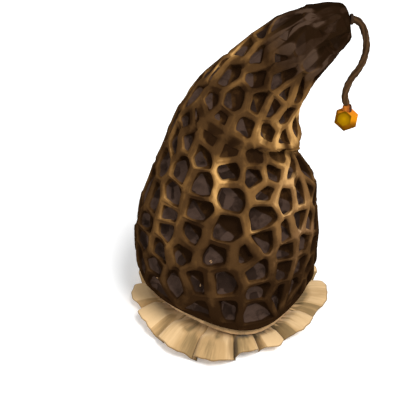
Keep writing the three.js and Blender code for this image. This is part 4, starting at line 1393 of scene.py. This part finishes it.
class MOREL_OT_ring(bpy.types.Operator):
    """Turn the rubber ring that holds the stalk in the tip."""

    bl_idname = "morel.ring"
    bl_label = "Tip ring"

    def execute(self, context):
        ring = turned_piece("tip_ring", RING_SHAPE)
        lie = Matrix.Rotation(math.pi / 2, 4, "Y")
        ring.data.transform(Matrix.Translation(part_place(*RING_AT)) @ lie)
        soften(ring, RING_EDGE * MM)
        paint = Paint("dark_rubber", Specular_IOR_Level=0.06)
        patch = paint.grain(220)
        paint.wear(Base_Color=paint.ramp(patch, RUBBER), Roughness=0.45 + 0.2 * patch)
        stands_for(ring, paint, "tip_ferrule")
        return {"FINISHED"}


class MOREL_OT_bead(bpy.types.Operator):
    """Cut the faceted amber bead."""

    bl_idname = "morel.bead"
    bl_label = "Bead"

    def execute(self, context):
        settings = context.scene.morel_stalk
        bpy.ops.object.select_all(action="DESELECT")
        bpy.ops.mesh.primitive_circle_add(vertices=BEAD_SIDES, radius=BEAD_TABLE * MM, fill_type="NGON")
        bead = context.object
        bead.name = "amber_bead"
        bpy.ops.object.mode_set(mode="EDIT")
        bpy.ops.mesh.select_all(action="SELECT")
        bpy.ops.transform.translate(value=(0, 0, -BEAD_HALF * MM))
        for grow in (BEAD_RADIUS / BEAD_TABLE, BEAD_TABLE / BEAD_RADIUS):
            bpy.ops.mesh.extrude_region_move(TRANSFORM_OT_translate={"value": (0, 0, BEAD_HALF * MM)})
            bpy.ops.transform.resize(value=(grow, grow, 1))
        bpy.ops.mesh.select_all(action="SELECT")
        bpy.ops.mesh.normals_make_consistent(inside=False)
        bpy.ops.object.mode_set(mode="OBJECT")
        turn = (
            Matrix.Translation(part_place(*BEAD_AT))
            @ Matrix.Rotation(math.radians(-BEAD_TURN), 4, "Z")
            @ Matrix.Rotation(math.radians(90 - BEAD_TILT), 4, "X")
        )
        bead.data.transform(turn)
        soften(bead, settings.bead_bevel, 15)
        stands_for(bead, amber_finish(settings, turn), "bead")
        return {"FINISHED"}


def amber_finish(settings, turn):
    """Amber resin: an olive-gold table, darker towards its border, and facets with painted light above and
    painted shade below and at the sides.
    """
    paint = Paint("amber", Roughness=0.5, Specular_IOR_Level=0.0)
    here = paint.node("ShaderNodeTexCoord").outputs["Object"]
    vector = "ShaderNodeVectorMath"
    off = paint.node(vector, {"operation": "SUBTRACT"}, {0: here, 1: turn.translation}).outputs[0]

    def along(way):
        node = paint.node(vector, {"operation": "DOT_PRODUCT"}, {0: off, 1: way})
        return Level(paint, node.outputs["Value"]) * (1 / (BEAD_RADIUS * MM))

    table = (turn.to_3x3() @ Vector((0, 0, 1))).normalized()
    up = (turn.to_3x3() @ Vector((0, 1, 0))).normalized()
    out, high, side = along(table), along(up), along(up.cross(table))
    far = (high * high + side * side) ** 0.5
    # Painted light and shade on the facets: orange where they face up, brown where they face down, darker
    # on the sides.
    ring = paint.ramp(high + 0.25 * (paint.grain(90) - 0.5), (
        (-0.95, tone(84, 50, 5)), (-0.35, tone(146, 90, 9)), (0.1, settings.amber),
        (0.85, tone(206, 118, 34)),
    ))
    ring = paint.mix((0 - side).between(0.35, 0.9) * 0.7, ring, tone(150, 98, 14))
    ring = paint.mix(side.between(0.2, 0.8) * (0 - high).between(0.0, 0.5) * 0.8, ring, tone(92, 52, 8))
    honey = paint.ramp(far + 0.25 * high + 0.1 * side, (
        (0.0, tone(168, 124, 3)), (0.34, settings.honey), (0.6, tone(100, 68, 3)),
    ))
    paint.wear(Base_Color=paint.mix(out.between(0.66, 0.73), ring, honey))
    return paint


class MOREL_OT_bead_cap(bpy.types.Operator):
    """Turn the small bell that joins the bead to the stalk."""

    bl_idname = "morel.bead_cap"
    bl_label = "Bead cap"

    def execute(self, context):
        cap = turned_piece("bead_cap", CUP_SHAPE)
        cap.data.transform(Matrix.Translation(part_place(BEAD_AT[0], BEAD_AT[1] + CUP_RISE)))
        soften(cap, CUP_EDGE * MM, 50)
        paint = Paint("resin_painted_shade", Roughness=0.6, Specular_IOR_Level=0.06)
        # Painted shade: the cup darkens across it from one side to the other.
        across = paint.node("ShaderNodeSeparateXYZ", None, {0: paint.place()}).outputs["X"]
        side = (Level(paint, across) * (1 / MM) - BEAD_AT[0] - RIM_MIDDLE[0]) * (1 / CUP_SHAPE[-2][0])
        paint.wear(Base_Color=paint.ramp(side + 0.6 * (paint.grain(260) - 0.5), RESIN_PAINTED_SHADE))
        stands_for(cap, paint, "bead_cup")
        return {"FINISHED"}


# Stage

class MOREL_OT_stage(bpy.types.Operator):
    """Add the camera, the pale floor and the soft studio lights."""

    bl_idname = "morel.stage"
    bl_label = "Stage"

    def execute(self, context):
        settings = context.scene.morel_stage
        scene = context.scene
        camera = bpy.data.objects.new("camera", bpy.data.cameras.new("camera"))
        camera.data.lens = settings.lens
        camera.location = CAMERA_AT
        camera.rotation_euler = (math.pi / 2 - settings.look_down, 0, 0)
        scene.collection.objects.link(camera)
        scene.camera = camera

        bpy.ops.object.select_all(action="DESELECT")
        bpy.ops.mesh.primitive_plane_add(size=settings.floor_side)
        floor = context.object
        floor.name = "floor"
        paper = Paint(
            "pale_floor", Roughness=0.9,
            Emission_Color=(1, 1, 1, 1), Emission_Strength=settings.floor_glow,
        )
        paper.wear(Base_Color=(0.95, 0.95, 0.95))
        paper.on(floor)

        for name, strength, wide, place in (
            ("key", settings.key, KEY_WIDE, KEY_FROM), ("fill", settings.fill, FILL_WIDE, FILL_FROM),
        ):
            sun = bpy.data.lights.new(name, "SUN")
            sun.energy = strength
            sun.angle = math.radians(wide)
            holder = bpy.data.objects.new(name, sun)
            holder.location = place
            holder.rotation_euler = (-holder.location).to_track_quat("-Z", "Y").to_euler()
            scene.collection.objects.link(holder)

        scene.world = bpy.data.worlds.new("studio")
        scene.world.use_nodes = True
        background = scene.world.node_tree.nodes["Background"].inputs
        background["Strength"].default_value = settings.sky
        background["Color"].default_value = (1, 1, 1, 1)
        scene.view_settings.view_transform = "Standard"
        return {"FINISHED"}


SETTINGS = {
    "morel_cap": MorelCapSettings,
    "morel_brim": MorelBrimSettings,
    "morel_stalk": MorelStalkSettings,
    "morel_stage": MorelStageSettings,
}
OPERATORS = (
    MOREL_OT_stage, MOREL_OT_bead_cap, MOREL_OT_bead, MOREL_OT_stalk, MOREL_OT_cap, MOREL_OT_welt,
    MOREL_OT_band, MOREL_OT_brim, MOREL_OT_ring,
)


class MOREL_PT_hat(bpy.types.Panel):
    """Lists the steps that build the hat."""

    bl_label = "Morel hat"
    bl_space_type = "VIEW_3D"
    bl_region_type = "UI"
    bl_category = "Morel hat"

    def draw(self, context):
        for step in OPERATORS:
            self.layout.operator(step.bl_idname)
        for name, group in SETTINGS.items():
            box = self.layout.box()
            for key in group.__annotations__:
                box.prop(getattr(context.scene, name), key)


def register():
    for group in (*SETTINGS.values(), *OPERATORS, MOREL_PT_hat):
        bpy.utils.register_class(group)
    for name, group in SETTINGS.items():
        setattr(bpy.types.Scene, name, PointerProperty(type=group))


def unregister():
    for name in SETTINGS:
        delattr(bpy.types.Scene, name)
    for group in reversed((*SETTINGS.values(), *OPERATORS, MOREL_PT_hat)):
        bpy.utils.unregister_class(group)


def main():
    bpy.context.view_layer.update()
    register()
    for step in OPERATORS:
        group, name = step.bl_idname.split(".")
        getattr(getattr(bpy.ops, group), name)()


if __name__ == "__main__":
    main()
